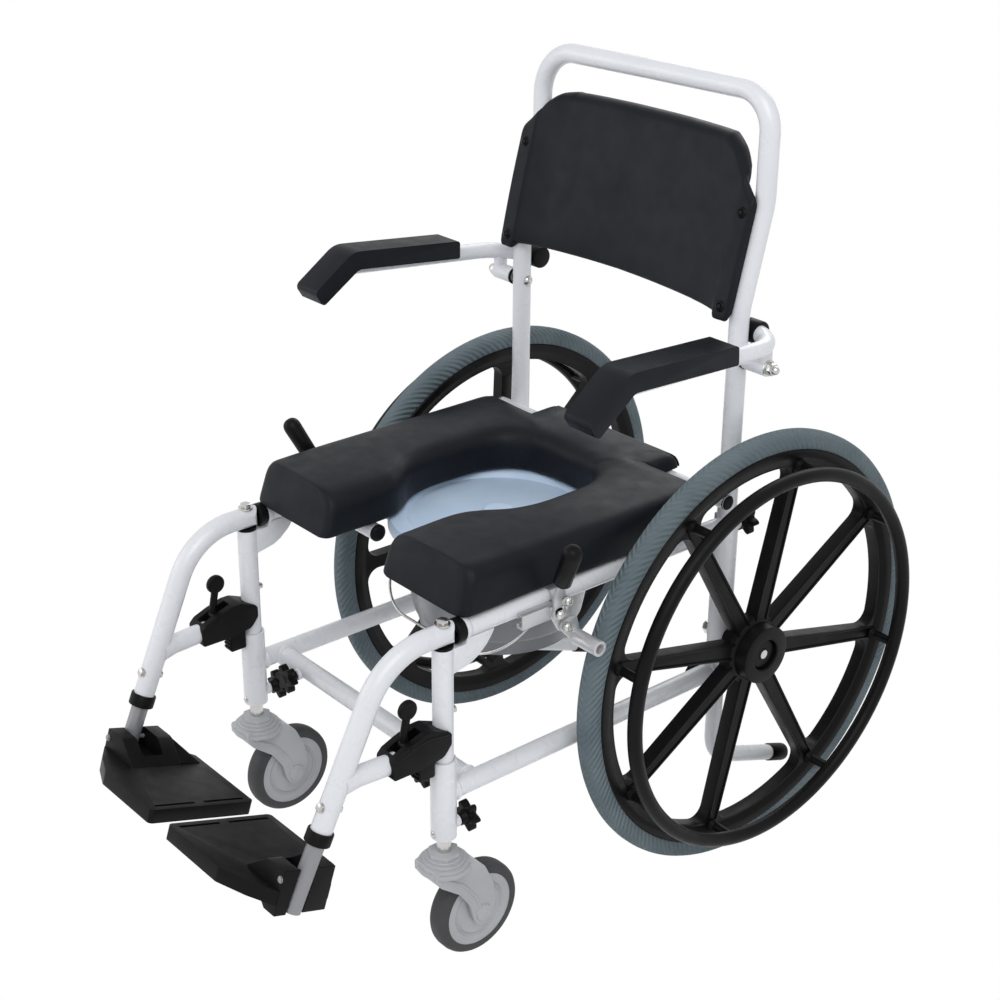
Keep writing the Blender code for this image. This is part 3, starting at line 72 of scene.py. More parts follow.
# Overall
WHEEL_R = 0.300            # tyre radius of the rear wheels
GAP = 0.0003               # daylight between pieces that touch
RUN = 0.0006               # running clearance of turning and sliding fits

# Frame tubes
TUBE = 0.0255              # main tube diameter
SLEEVE = 0.032             # outer diameter of the four sleeves
HALF = 0.2048              # sleeve axes from the middle
LEG_Y = -0.4745            # front sleeves from the axle
UPR_Y = -0.0035            # uprights from the axle
SEAT_RAIL_Z = 0.4612
SIDE_RAIL_Z = 0.2475
CROSS_Y = -0.430
FRONT_SLEEVE_Z = (0.187, 0.2956)
REAR_SLEEVE_Z = (0.226, 0.475)
LEG_Z = (0.212, 0.4465)
UPRIGHT_FOOT_Z = 0.335
HANDLE_Z = 1.0148
HANDLE_LEAN = 0.0335       # how far the top of the back leans rearwards
LEAN_Z = (0.7505, 0.8825)
STUB = 0.022
STUB_END = 0.050
REAR_CROSS = 0.020
REAR_CROSS_Y = -0.0235
REAR_CROSS_Z = 0.504

# Rear wheels
TRACK = 0.2548             # wheel plane from the middle
TYRE_W = 0.028
RIM_R = WHEEL_R - 0.0235
RIM_INNER_R = RIM_R - 0.0220
RIM_W = 0.027
SPOKES = 8
SPOKE_PHASE = -13.8        # degrees from level
RIGHT_PHASE = -1.5         # the right wheel stands turned
HUB_R = 0.040
HUB_FACE = 0.0315          # hub face outside the wheel plane
HUB_TAIL = TRACK - HALF - SLEEVE / 2 - 0.001    # hub tail inside the wheel plane
AXLE_D = 0.012
WEB_HALF = 0.0088
HANDRIM_R = WHEEL_R - 0.0450
HANDRIM_D = 0.019
HANDRIM_OFF = 0.0490

# Castors
CASTOR_R = 0.0625
CASTOR_W = 0.026
TRAIL = 0.0460
STEM_D = 0.018
FORK_CHEEK = 0.0065

# Seat and back
SEAT_Z = (0.4770, 0.5360)
SEAT_HALF = 0.2141
SEAT_FRONT = -0.4456
WING_REAR = -0.0566
TONGUE_REAR = -0.0055
TONGUE_HALF = 0.122
CHANNEL_HALF = 0.058
OPENING_HALF = 0.100
OPENING_REAR = -0.106
BACK_TILT = math.degrees(math.atan2(HANDLE_LEAN, LEAN_Z[1] - LEAN_Z[0]))
BACK_HALF = HALF + 0.0150
BACK_Z = 0.8195            # middle of the back panel
BACK_GAP = 0.0012          # panel flange to upright
FLANGE_T = 0.016

# Bucket
BUCKET_Y = -0.2175
PAIL_TOP_R = 0.1348
PAIL_FOOT_R = PAIL_TOP_R - 0.0278
PAIL_Z = (0.312, 0.4543)
PAIL_LIP = 0.003           # thickness of the flange round the pail
BUCKET_R = PAIL_TOP_R + 0.0057    # clear half-width between the runners
RUNNER_Z = PAIL_Z[1] - PAIL_LIP - GAP
LID_R = PAIL_TOP_R + 0.0099
BAIL_Z = 0.440
BAIL_REACH = 0.158
BAIL_DROP = 45.0           # degrees below level

# Arms
ARM_PIVOT_Z = 0.6921
ARM_TUBE = 0.022
PAD_W = 0.045
LEFT_ARM_DROP = 3.4        # degrees the left arm rests lower

# Footrests
HANGER = 0.027
FOOT_TUBE = 0.022
HANGER_Z = 0.4625
HANGER_KNEE = (HALF - 0.0014, -0.5553, HANGER_Z)
HANGER_END = (HALF - 0.0078, -0.6497, 0.2585)
STRUT_Z = 0.3195
HINGE_DOWN = 0.0510        # footplate hinge below the hanger's end, along the tube
PLATE_TILT = 18.5          # degrees, toes up
PLATE_FRONT = -0.0722      # from the hinge along the plate
PLATE_REAR = 0.0780
PLATE_INNER = 0.018        # inner edge from the middle
PLATE_T = 0.018
HINGE_W = 0.0136           # hinge above the tread
LUG = (-0.0336, 0.0400)
LUG_TOP = 0.0114
LUG_FOOT = -0.0450

# Brakes: everything hangs off the roller, which waits in front of the tyre
ROLLER_R = 0.010
ROLLER_GAP = 0.0041        # to the tyre, level
ROLLER_Z = SEAT_RAIL_Z - 0.0510
ROLLER_Y = -math.sqrt(WHEEL_R ** 2 - (ROLLER_Z - WHEEL_R) ** 2) - ROLLER_GAP - ROLLER_R
ROLLER = (ROLLER_Y, ROLLER_Z)
CARRIER_PIVOT = (ROLLER_Y - 0.0180, ROLLER_Z + 0.0201)
LEVER_PIVOT = (ROLLER_Y - 0.0294, ROLLER_Z + 0.0404)
BRAKE_Y = ROLLER_Y - 0.0162    # clamp on the seat rail
STUB_Y = BRAKE_Y - 0.0593      # stub tubes under the front of the opening
PLATE_X = HALF + 0.0237        # side plate, outside the slide channel
BLADE_X = PLATE_X + 0.0037     # lever blade and roller carrier
LEVER_TIP = (BLADE_X + 0.0404, ROLLER_Y - 0.0409, ROLLER_Z + 0.1447)
RIGHT_LEVER = 14.0         # degrees the right lever stands further forward
BRAKE_RATIO = 0.6          # carrier turn per lever turn


# Surfaces
def node(tree, kind, inputs, **settings):
    """New shader node; an input is linked where a socket is given and set where a value is."""
    made = tree.nodes.new("ShaderNode" + kind)
    for name, value in settings.items():
        setattr(made, name, value)
    for name, value in inputs.items():
        feed(tree, value, made.inputs[name])
    return made


def feed(tree, value, socket):
    """Link a socket to an input, or set the input to a plain value."""
    if isinstance(value, bpy.types.NodeSocket):
        tree.links.new(value, socket)
    else:
        socket.default_value = value


def ramp(tree, factor, low, high, start=0.3, end=0.7):
    made = node(tree, "ValToRGB", {"Fac": factor})
    for element, place, colour in zip(made.color_ramp.elements, (start, end), (low, high)):
        element.position = place
        element.color = (*colour, 1.0)
    return made.outputs["Color"]


def noise(tree, scale, detail, stretch):
    place = node(tree, "TexCoord", {}).outputs["Object"]
    mapping = node(tree, "Mapping", {"Vector": place, "Scale": stretch})
    return node(tree, "TexNoise", {"Vector": mapping.outputs["Vector"], "Scale": scale,
                                   "Detail": detail}).outputs["Fac"]


def spread(tree, factor, low, high):
    return node(tree, "MapRange", {"Value": factor, "From Min": 0.25, "From Max": 0.75,
                                   "To Min": low, "To Max": high}).outputs["Result"]


def combine(tree, operation, first, second=0.0):
    return node(tree, "Math", {0: first, 1: second}, operation=operation).outputs["Value"]


TREAD_PITCH = 98.0         # bars per metre round the tyre
TREAD_SLANT = 90.0         # bars per metre across it
TREAD_DEPTH = 0.0042


def herringbone(tree):
    """Tread height from the tyre's own map: along the tread in u, across it in v."""
    place = node(tree, "TexCoord", {}).outputs["UV"]
    split = node(tree, "SeparateXYZ", {"Vector": place})
    slant = combine(tree, "MULTIPLY", combine(tree, "ABSOLUTE", split.outputs["Y"]), TREAD_SLANT)
    along = combine(tree, "MULTIPLY", split.outputs["X"], TREAD_PITCH)
    wave = combine(tree, "FRACT", combine(tree, "ADD", along, slant))
    return combine(tree, "PINGPONG", wave, 0.5)


WEAR = 0.45                # strongest share of the worn colour
SURFACES = {}


def surface(name, low, high, worn, rough, grain, bump, metallic=0.0, specular=0.5, coat=0.0,
            stretch=(1, 1, 1), tread=False):
    """Paint, plastic, foam or metal: mottled colour, uneven gloss, fine grain and a little wear."""
    found = bpy.data.materials.new(name)
    found.use_nodes = True
    tree = found.node_tree
    mottled = ramp(tree, noise(tree, 16.0, 4.0, stretch), low, high)
    patches = noise(tree, 70.0, 6.0, stretch)
    wear = combine(tree, "MULTIPLY", ramp(tree, patches, (0, 0, 0), (1, 1, 1), 0.62, 0.82), WEAR)
    colour = node(tree, "Mix", {"Factor": wear, 6: mottled, 7: ramp(tree, patches, low, worn)},
                  data_type="RGBA")
    relief = node(tree, "Bump", {"Strength": 0.55, "Distance": bump,
                                 "Height": noise(tree, grain, 3.0, stretch)})
    if tread:
        bars = node(tree, "Bump", {"Strength": 1.0, "Distance": TREAD_DEPTH, "Height": herringbone(tree)})
        feed(tree, bars.outputs["Normal"], relief.inputs["Normal"])
    shader = tree.nodes["Principled BSDF"]
    for socket, value in (
            ("Base Color", colour.outputs[2]), ("Normal", relief.outputs["Normal"]),
            ("Roughness", spread(tree, noise(tree, 45.0, 5.0, stretch), *rough)),
            ("Metallic", metallic), ("Specular IOR Level", specular),
            ("Coat Weight", coat), ("Coat Roughness", 0.12)):
        feed(tree, value, shader.inputs[socket])
    SURFACES[name] = found


# Each: dark, light and worn colour, range of roughness, fineness of the grain and its height
surface("white_paint", (0.76, 0.77, 0.80), (0.79, 0.80, 0.83), (0.74, 0.75, 0.78), (0.24, 0.34),
        260.0, 0.00010, coat=0.25)
surface("black_moulding", (0.0035, 0.0035, 0.0040), (0.0060, 0.0060, 0.0066), (0.010, 0.010, 0.011),
        (0.34, 0.48), 1400.0, 0.00012, specular=0.12)
surface("black_foam", (0.0050, 0.0066, 0.0098), (0.0085, 0.0108, 0.0150), (0.013, 0.016, 0.021),
        (0.40, 0.54), 1100.0, 0.00022, specular=0.16)
surface("tyre_rubber", (0.115, 0.155, 0.172), (0.165, 0.208, 0.228), (0.19, 0.22, 0.23),
        (0.68, 0.82), 700.0, 0.00020, specular=0.3, tread=True)
surface("castor_plastic", (0.40, 0.405, 0.425), (0.47, 0.475, 0.495), (0.46, 0.46, 0.47),
        (0.34, 0.48), 900.0, 0.00012)
surface("castor_rubber", (0.034, 0.034, 0.036), (0.052, 0.052, 0.055), (0.08, 0.08, 0.08),
        (0.60, 0.75), 800.0, 0.00015)
surface("steel", (0.52, 0.51, 0.50), (0.70, 0.69, 0.67), (0.42, 0.41, 0.39), (0.20, 0.32),
        500.0, 0.00006, metallic=1.0)
surface("aluminium", (0.52, 0.52, 0.535), (0.62, 0.62, 0.635), (0.40, 0.40, 0.41), (0.32, 0.44),
        420.0, 0.00008, metallic=0.60, stretch=(1, 1, 0.15))
surface("bucket_plastic", (0.20, 0.21, 0.225), (0.25, 0.262, 0.28), (0.30, 0.31, 0.33), (0.24, 0.36),
        700.0, 0.00010)
surface("lid_plastic", (0.55, 0.69, 0.87), (0.61, 0.76, 0.93), (0.63, 0.77, 0.91), (0.34, 0.46),
        700.0, 0.00010)
surface("drawn_tube", (0.28, 0.28, 0.295), (0.34, 0.34, 0.355), (0.24, 0.24, 0.25), (0.34, 0.46),
        420.0, 0.00008, metallic=0.45, stretch=(1, 1, 0.15))


# Shapes
SHARP_ANGLE = math.radians(38)    # edges that turn more than this stay sharp


def link(data):
    obj = bpy.data.objects.new("shape", data)
    bpy.context.scene.collection.objects.link(obj)
    return obj


def evaluated(obj):
    """Freeze an object's modifiers, or a curve's solid, into a plain mesh object."""
    graph = bpy.context.evaluated_depsgraph_get()
    graph.update()
    mesh = bpy.data.meshes.new_from_object(obj.evaluated_get(graph))
    bpy.data.objects.remove(obj, do_unlink=True)
    return link(mesh)


def weld(obj, distance=1e-5):
    mesh = bmesh.new()
    mesh.from_mesh(obj.data)
    bmesh.ops.remove_doubles(mesh, verts=mesh.verts, dist=distance)
    bmesh.ops.dissolve_degenerate(mesh, edges=mesh.edges, dist=1e-6)
    bmesh.ops.recalc_face_normals(mesh, faces=mesh.faces)
    mesh.to_mesh(obj.data)
    mesh.free()
    return obj


def bake(obj, matrix):
    """Move the mesh itself, leaving the object at the origin."""
    obj.data.transform(matrix)
    if matrix.determinant() < 0:
        obj.data.flip_normals()
    return obj


def flipped(obj):
    return bake(obj, Matrix.Scale(-1, 4, X))


def mirrored(obj):
    return flipped(link(obj.data.copy()))


def from_bmesh(mesh):
    data = bpy.data.meshes.new("shape")
    mesh.to_mesh(data)
    mesh.free()
    return link(data)


def join(*parts):
    """One mesh from several overlapping solids."""
    mesh = bmesh.new()
    for part in parts:
        mesh.from_mesh(part.data)
        bpy.data.objects.remove(part, do_unlink=True)
    return from_bmesh(mesh)


def finish(obj, name, look, body=None, replaced=None):
    """Dress a piece, move it into the row frame and hang it on its body."""
    obj.name = name
    obj.data.name = name
    obj.data.materials.clear()
    obj.data.materials.append(SURFACES[look])
    for polygon in obj.data.polygons:
        polygon.material_index = 0
    obj.data.transform(Matrix.Translation((0, AXLE_Y, 0)))
    obj.data.shade_smooth()
    obj.data.set_sharp_from_angle(angle=SHARP_ANGLE)
    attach(obj, body or OWNER[replaced])
    if replaced:
        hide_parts(replaced)
    return obj


def both(left, right, stem, look, body=None, replaces=True):
    """Finish the pieces of the two sides; body is the body, or the stem of the two, that they ride on."""
    pieces = []
    for shape, side in ((left, "left"), (right, "right")):
        node_name = f"{stem}_{side}" if replaces else None
        rider = body if body in frame["bodies"] else f"{body}_{side}" if body else None
        pieces.append(finish(shape, f"{stem}_{side}_form", look, rider, node_name))
    return pieces


def pair(obj, *rest, **options):
    """Left piece as drawn and its mirror image."""
    return both(obj, mirrored(obj), *rest, **options)


def axis_frame(direction):
    """Rotation that takes +Z onto the given direction."""
    return Z.rotation_difference(Vector(direction).normalized()).to_matrix().to_4x4()


def box(low, high):
    mesh = bmesh.new()
    bmesh.ops.create_cube(mesh, size=1.0)
    low, high = Vector(low), Vector(high)
    place = Matrix.Translation((low + high) / 2) @ Matrix.Diagonal((*(high - low), 1.0))
    return bake(from_bmesh(mesh), place)


def rod(start, end, radius, end_radius=None, sides=48):
    """Round or polygonal bar between two points."""
    start, end = Vector(start), Vector(end)
    mesh = bmesh.new()
    bmesh.ops.create_cone(mesh, cap_ends=True, segments=sides, radius1=radius,
                          radius2=radius if end_radius is None else end_radius,
                          depth=(end - start).length)
    return bake(from_bmesh(mesh), Matrix.Translation((start + end) / 2) @ axis_frame(end - start))


def hexagon(start, end, radius, edge=0.0007, end_radius=None):
    """Bolt head or nut with soft edges."""
    return bevel(rod(start, end, radius, end_radius, 6), edge, 2)


def rounded_path(points, radii, steps):
    """Polyline with each inner corner replaced by an arc of its radius."""
    points = [Vector(p) for p in points]
    path = [points[0]]
    for last_point, here, next_point, radius in zip(points, points[1:], points[2:], radii):
        before = (last_point - here).normalized()
        after = (next_point - here).normalized()
        half = before.angle(after) / 2
        reach = radius / math.tan(half)
        centre = here + (before + after).normalized() * (radius / math.sin(half))
        first = here + before * reach - centre
        last = here + after * reach - centre
        sweep = first.angle(last)
        axis = first.cross(last).normalized()
        count = max(2, round(steps * sweep / (math.pi / 2)))
        for k in range(count + 1):
            path.append(centre + Matrix.Rotation(sweep * k / count, 3, axis) @ first)
    return path + [points[-1]]


def rounded_outline(points, radii, steps=14):
    """Closed outline with its corners filleted; a radius of 0 keeps the corner sharp."""
    outline = []
    for i, radius in enumerate(radii):
        corner = [(*p, 0) for p in (points[i - 1], points[i], points[(i + 1) % len(points)])]
        arc = rounded_path(corner, [radius], steps)[1:-1] if radius > 0 else [Vector(corner[1])]
        outline += [(p.x, p.y) for p in arc]
    return outline


def on_circle(radius, angle):
    return radius * math.cos(angle), radius * math.sin(angle)


def arc_points(start, end, radius, count):
    return [on_circle(radius, start + (end - start) * k / count) for k in range(count + 1)]


def capsule(points, radii, arc=8):
    """Outline round a row of discs: the hull of their circles."""
    cloud = set()
    for (u, v), radius in zip(points, radii):
        cloud |= {(u + a, v + b) for a, b in arc_points(0, math.tau, radius, arc * 4)[:-1]}
    cloud = sorted(cloud)
    chain = []
    for sweep in (cloud, cloud[::-1]):
        part = []
        for p in sweep:
            while len(part) > 1 and ((part[-1][0] - part[-2][0]) * (p[1] - part[-2][1])
                                     - (part[-1][1] - part[-2][1]) * (p[0] - part[-2][0])) <= 1e-9:
                part.pop()
            part.append(p)
        chain += part[:-1]
    return chain


def curve_solid(loops, cyclic, **settings):
    """Solid of a POLY curve: a thickened outline, or a path with a round bevel."""
    curve = bpy.data.curves.new("shape", "CURVE")
    for name, value in settings.items():
        setattr(curve, name, value)
    for loop in loops:
        spline = curve.splines.new("POLY")
        spline.points.add(len(loop) - 1)
        spline.use_cyclic_u = cyclic
        for point, place in zip(spline.points, loop):
            point.co = (*place, 1.0)
    return evaluated(link(curve))


def tube(points, radius, radii=()):
    """Solid bent tube with flat ends."""
    path = rounded_path(points, radii, 16) if radii else points
    return weld(curve_solid([path], False, dimensions="3D", bevel_depth=radius, bevel_resolution=7,
                            use_fill_caps=True))


PLANES = {
    "XY": Matrix.Identity(4),
    "YZ": Matrix(((0, 0, 1, 0), (1, 0, 0, 0), (0, 1, 0, 0), (0, 0, 0, 1))),
    "XZ": Matrix(((1, 0, 0, 0), (0, 0, -1, 0), (0, 1, 0, 0), (0, 0, 0, 1))),
}


def prism(outline, low, high, plane="XY", holes=()):
    """Flat outline in a plane, thickened between two heights across that plane."""
    middle = (high + low) / 2 * (-1 if plane == "XZ" else 1)
    loops = [[(u, v, 0.0) for u, v in loop] for loop in (outline, *holes)]
    obj = curve_solid(loops, True, dimensions="2D", fill_mode="BOTH", extrude=(high - low) / 2)
    return weld(bake(obj, PLANES[plane] @ Matrix.Translation((0, 0, middle))))


def turned(profile, centre, direction, steps=96, closed=False):
    """Turned solid: (radius, height) pairs down the outer side, spun by a Screw modifier."""
    data = bpy.data.meshes.new("shape")
    edges = [(i, i + 1) for i in range(len(profile) - 1)]
    if closed:
        edges.append((len(profile) - 1, 0))
    data.from_pydata([(r, 0.0, h) for r, h in profile], edges, [])
    obj = link(data)
    screw = obj.modifiers.new("spin", "SCREW")
    screw.axis = "Z"
    screw.angle = math.tau
    screw.steps = screw.render_steps = steps
    screw.use_merge_vertices = True
    screw.merge_threshold = 1e-5
    return bake(weld(evaluated(obj)), Matrix.Translation(centre) @ axis_frame(direction))


def cut(base, *others):
    for other in others:
        modifier = base.modifiers.new("cut", "BOOLEAN")
        modifier.operation = "DIFFERENCE"
        modifier.object = other
        modifier.solver = "EXACT"
        modifier.use_self = True
    result = evaluated(base)
    for other in others:
        bpy.data.objects.remove(other, do_unlink=True)
    return weld(result, 2e-6)


def bevel(obj, width, segments=3, angle=30):
    modifier = obj.modifiers.new("edges", "BEVEL")
    modifier.width = width
    modifier.segments = segments
    modifier.limit_method = "ANGLE"
    modifier.angle_limit = math.radians(angle)
    modifier.use_clamp_overlap = True
    return weld(evaluated(obj), 2e-6)


def loft(sections):
    """Closed skin over a row of unlike sections, with flat ends."""
    mesh = bmesh.new()
    rings = [[mesh.verts.new(p) for p in section] for section in sections]
    count = len(rings[0])
    for a, b in zip(rings, rings[1:]):
        for k in range(count):
            mesh.faces.new((a[k], a[(k + 1) % count], b[(k + 1) % count], b[k]))
    mesh.faces.new(rings[0])
    mesh.faces.new(rings[-1])
    bmesh.ops.recalc_face_normals(mesh, faces=mesh.faces)
    return from_bmesh(mesh)


def at_leg(z, y=0.0):
    return Vector((HALF, LEG_Y + y, z))


def at_upright(z, y=0.0):
    return Vector((HALF, UPR_Y + y, z))


def outward_from(base, points):
    """Profile points given as distances inside a radius."""
    return [(base - inset, height) for inset, height in points]


def there_and_back(half):
    """Closed profile from its upper half."""
    return half + [(r, -h) for r, h in reversed(half)]


# Star knobs: six soft lobes, a flat face and the screw that enters its boss
KNOB_R = 0.0195
KNOB_LOBE = 0.0036
KNOB_T = 0.0105
KNOB_REACH = 0.029


def star_knob(tip, direction):
    outline = []
    for k in range(96):
        angle = math.tau * k / 96
        outline.append(on_circle(KNOB_R - KNOB_LOBE + KNOB_LOBE * math.cos(6 * angle), angle))
    head = bevel(prism(outline, 0.0, KNOB_T), 0.0022, 4, 60)
    face = turned([(0, KNOB_T + 0.0010), (0.006, KNOB_T + 0.0007), (0.0082, KNOB_T - 0.0005),
                   (0, KNOB_T - 0.001)], (0, 0, 0), Z)
    hub = rod((0, 0, -0.0075), (0, 0, 0.001), 0.0072, 0.0100)
    screw = rod((0, 0, -KNOB_REACH + KNOB_T), (0, 0, 0.002), 0.0029)
    place = Matrix.Translation(tip) @ axis_frame(direction)
    return bake(join(head, face, hub, screw), place @ Matrix.Translation((0, 0, KNOB_REACH - KNOB_T)))


def clamp_boss(start, direction, reach=0.006):
    start = Vector(start)
    return bevel(rod(start - direction * 0.004, start + direction * reach, 0.008), 0.0010, 2)


# Lower frame
FRONT_KNOB_Z = 0.1996
REAR_KNOB_Z = 0.457
LEVER_KNOB_Z = 0.236
RUNG_KNOB_X = 0.147
RUNG_KNOB_Z = 0.2420
TIP_LEVER_BEND = at_upright(0.1105)
TIP_LEVER_END = Vector((HALF, 0.145, 0.0552))


def rail_slot():
    """Notch in the rear sleeve that lets the seat rail ride up with the upright."""
    half = TUBE / 2 + 0.0009
    bottom = SEAT_RAIL_Z - TUBE / 2 - 0.0007
    outline = [(HALF + u, bottom + half + v) for u, v in arc_points(math.pi, math.tau, half, 24)]
    outline += [(HALF + half, 0.60), (HALF - half, 0.60)]
    return prism(outline, UPR_Y - 0.03, UPR_Y, "XZ")


def sleeve(place, heights, hollow, notch):
    """Outer tube of a sliding joint, hollow at the top and notched at its edge."""
    outer = rod(place(heights[0]), place(heights[1]), SLEEVE / 2)
    inside = rod(place(hollow[0]), place(hollow[1]), TUBE / 2 + RUN)
    return bevel(cut(outer, notch, inside), 0.0008, 2)


def weld_bead(centre, direction, rise, step, height):
    """Bead round a main tube where it meets another one."""
    profile = [(rise, 0.0), (step, height), (-0.001, 0.0032), (-0.002, -0.002), (step, -0.0018)]
    return turned([(TUBE / 2 + r, h) for r, h in profile], centre, direction, closed=True)


def frame_side():
    top = FRONT_SLEEVE_Z[1]
    notch = box((HALF - 0.0036, LEG_Y - 0.03, top - 0.0075), (HALF + 0.0036, LEG_Y, top + 0.01))
    front = sleeve(at_leg, FRONT_SLEEVE_Z, (0.25, 0.32), notch)
    rear = sleeve(at_upright, REAR_SLEEVE_Z, (0.40, 0.52), rail_slot())
    rail = tube([at_leg(SIDE_RAIL_Z, 0.006), at_upright(SIDE_RAIL_Z, -0.006)], TUBE / 2)
    lever = tube([at_upright(REAR_SLEEVE_Z[0] + 0.006), TIP_LEVER_BEND, TIP_LEVER_END], 0.0110, [0.045])
    bosses = [clamp_boss(at_leg(FRONT_KNOB_Z, SLEEVE / 2), Y),
              clamp_boss(at_upright(REAR_KNOB_Z, SLEEVE / 2), Y),
              clamp_boss((HALF - SLEEVE / 2, UPR_Y, LEVER_KNOB_Z), -X),
              clamp_boss((RUNG_KNOB_X, CROSS_Y - TUBE / 2, RUNG_KNOB_Z), -Y, 0.0035)]
    rung_z = SIDE_RAIL_Z - 0.001
    rung = tube([(HALF, CROSS_Y, rung_z), (-0.0001, CROSS_Y, rung_z)], TUBE / 2)
    welds = [weld_bead((HALF - TUBE / 2 + 0.0006, CROSS_Y, rung_z), -X, 0.0024, 0.0015, 0.0020),
             weld_bead(at_leg(SIDE_RAIL_Z, SLEEVE / 2 - 0.0004), Y, 0.0022, 0.0012, 0.0022),
             weld_bead(at_upright(SIDE_RAIL_Z, 0.0004 - SLEEVE / 2), -Y, 0.0022, 0.0012, 0.0022)]
    return join(front, rear, rail, lever, rung, *bosses, *welds)


def tip_cap():
    profile = [(0, 0.0030), (0.0095, 0.0026), (0.0120, 0.0005), (0.0125, -0.0030), (0.0125, -0.0310),
               (0.0115, -0.0325), (0, -0.0325)]
    return turned(profile, TIP_LEVER_END, TIP_LEVER_END - TIP_LEVER_BEND)


def sleeve_screw():
    profile = [(0, 0.0022), (0.0026, 0.0019), (0.0042, 0.0004), (0.0044, -0.002), (0, -0.002)]
    return turned(profile, at_leg(0.1940, -SLEEVE / 2), -Y, 32)


left_side = frame_side()
finish(join(left_side, mirrored(left_side)), "lower_frame_form", "white_paint", replaced="lower_frame")
pair(tip_cap(), "tip_cap", "black_moulding", "lower_frame", replaces=False)
pair(sleeve_screw(), "sleeve_screw", "steel", "upper_frame", replaces=False)


# Upper frame
HANDLE_SAG = 0.003         # the push handle stands a little lower on the right
STUB_FAR = 0.059           # the right stub ends a little further out
CROSS_END = (HALF + 0.0190, REAR_CROSS_Y, REAR_CROSS_Z)


def gusset():
    """Formed plate that carries the leg under the front end of the seat rail."""
    inside = TUBE / 2 - 0.004
    under_rail = 0.002 - TUBE / 2
    outline = [(inside, -0.0172), (0.0280, -0.0172), (0.0305, under_rail), (0.0705, under_rail),
               (0.0670, -0.0172), (0.0585, -0.0282), (0.0455, -0.0392), (0.0345, -0.0447),
               (inside, -0.0502)]
    outline = [(LEG_Y + u, SEAT_RAIL_Z + v) for u, v in outline]
    outline = rounded_outline(outline, [0, 0.002, 0, 0, 0.004, 0.012, 0.012, 0.012, 0], 5)
    return bevel(prism(outline, HALF - 0.009, HALF + 0.009, "YZ"), 0.0018, 3)


def bucket_runner():
    """Angle that carries one side of the bucket's flange, and its hanger at the rear."""
    inner = BUCKET_R + 0.001
    web, outer = inner + 0.020, inner + 0.0225
    foot, top = RUNNER_Z - 0.0025, RUNNER_Z + 0.014
    angle = [(inner, RUNNER_Z), (inner, foot), (outer, foot), (outer, top), (web, top), (web, RUNNER_Z)]
    hanger = [(REAR_CROSS_Y - 0.010, foot), (REAR_CROSS_Y + 0.010, foot),
              (REAR_CROSS_Y + 0.006, REAR_CROSS_Z), (REAR_CROSS_Y - 0.006, REAR_CROSS_Z)]
    return (prism(angle, STUB_Y - 0.006, REAR_CROSS_Y + 0.012, "XZ"),
            prism(hanger, outer - 0.0030, outer + 0.0005, "YZ"))


def upper_side(stub_end, corner, bend):
    leg = bevel(rod(at_leg(LEG_Z[0]), at_leg(LEG_Z[1]), TUBE / 2), 0.0010, 2)
    rail_start = at_leg(SEAT_RAIL_Z, 0.0268)
    rail = tube([rail_start, at_upright(SEAT_RAIL_Z)], TUBE / 2)
    flare = [(0.0146, 0.0), (0.0146, 0.0045), (0.0136, 0.0075), (0.0126, 0.0090), (0.0110, 0.0)]
    flare = turned(flare, rail_start, Y, closed=True)
    stub = rod((HALF, STUB_Y, SEAT_RAIL_Z), (stub_end, STUB_Y, SEAT_RAIL_Z), STUB / 2)
    back = tube([at_upright(UPRIGHT_FOOT_Z), at_upright(LEAN_Z[0]), at_upright(LEAN_Z[1], HANDLE_LEAN),
                 at_upright(HANDLE_Z - corner, HANDLE_LEAN),
                 (-0.0001, UPR_Y + HANDLE_LEAN, HANDLE_Z - HANDLE_SAG)], TUBE / 2, [0.09, 0.09, bend])
    cross = rod((-0.0001, REAR_CROSS_Y, REAR_CROSS_Z), CROSS_END, REAR_CROSS / 2)
    return join(leg, gusset(), rail, flare, back, stub, cross, *bucket_runner())


def plug(centre, direction, radius, rise):
    """Domed end plug of a tube."""
    profile = [(0, rise), (radius * 0.55, rise * 0.85), (radius * 0.9, rise * 0.35), (radius, -0.0004),
               (radius, -0.0030), (0, -0.0030)]
    return turned(profile, centre, direction, 64)


far_side = flipped(upper_side(STUB_FAR, 0.0070, 0.064))
finish(join(upper_side(STUB_END, 0.0, 0.047), far_side), "upper_frame_form", "white_paint",
       replaced="upper_frame")
for reach, side, way in ((STUB_END, "left", -X), (-STUB_FAR, "right", X)):
    cap = plug((reach, STUB_Y, SEAT_RAIL_Z), way, STUB / 2 + 0.0003, 0.0036)
    finish(cap, f"stub_cap_{side}", "black_moulding", "upper_frame")
pair(plug(CROSS_END, X, REAR_CROSS / 2, 0.0028), "cross_cap", "black_moulding", "upper_frame",
     replaces=False)
pair(rod(at_leg(LEG_Z[1] - 0.0004), at_leg(LEG_Z[1] + 0.0026), 0.0129), "leg_plug", "black_moulding",
     "upper_frame", replaces=False)

for stem, tip, way in (
        ("front_knob", at_leg(FRONT_KNOB_Z, TUBE / 2 + 0.0006), Y),
        ("rear_knob", at_upright(REAR_KNOB_Z, TUBE / 2 + 0.0009), Y),
        ("lever_knob", (HALF - TUBE / 2 - 0.0003, UPR_Y, LEVER_KNOB_Z), -X),
        ("rung_knob", (RUNG_KNOB_X, CROSS_Y - 0.0070, RUNG_KNOB_Z), -Y)):
    pair(star_knob(tip, way), stem, "black_moulding")


# Rear wheels
SPOKE_ROOT = 0.0120        # half-width of a spoke at the hub
SPOKE_TIP = 0.0090         # and at the rim
WHEEL_CENTRE = Vector((TRACK, 0, WHEEL_R))


def turn_outline(outline, angle):
    cos, sin = math.cos(angle), math.sin(angle)
    return [(u * cos - v * sin, u * sin + v * cos) for u, v in outline]


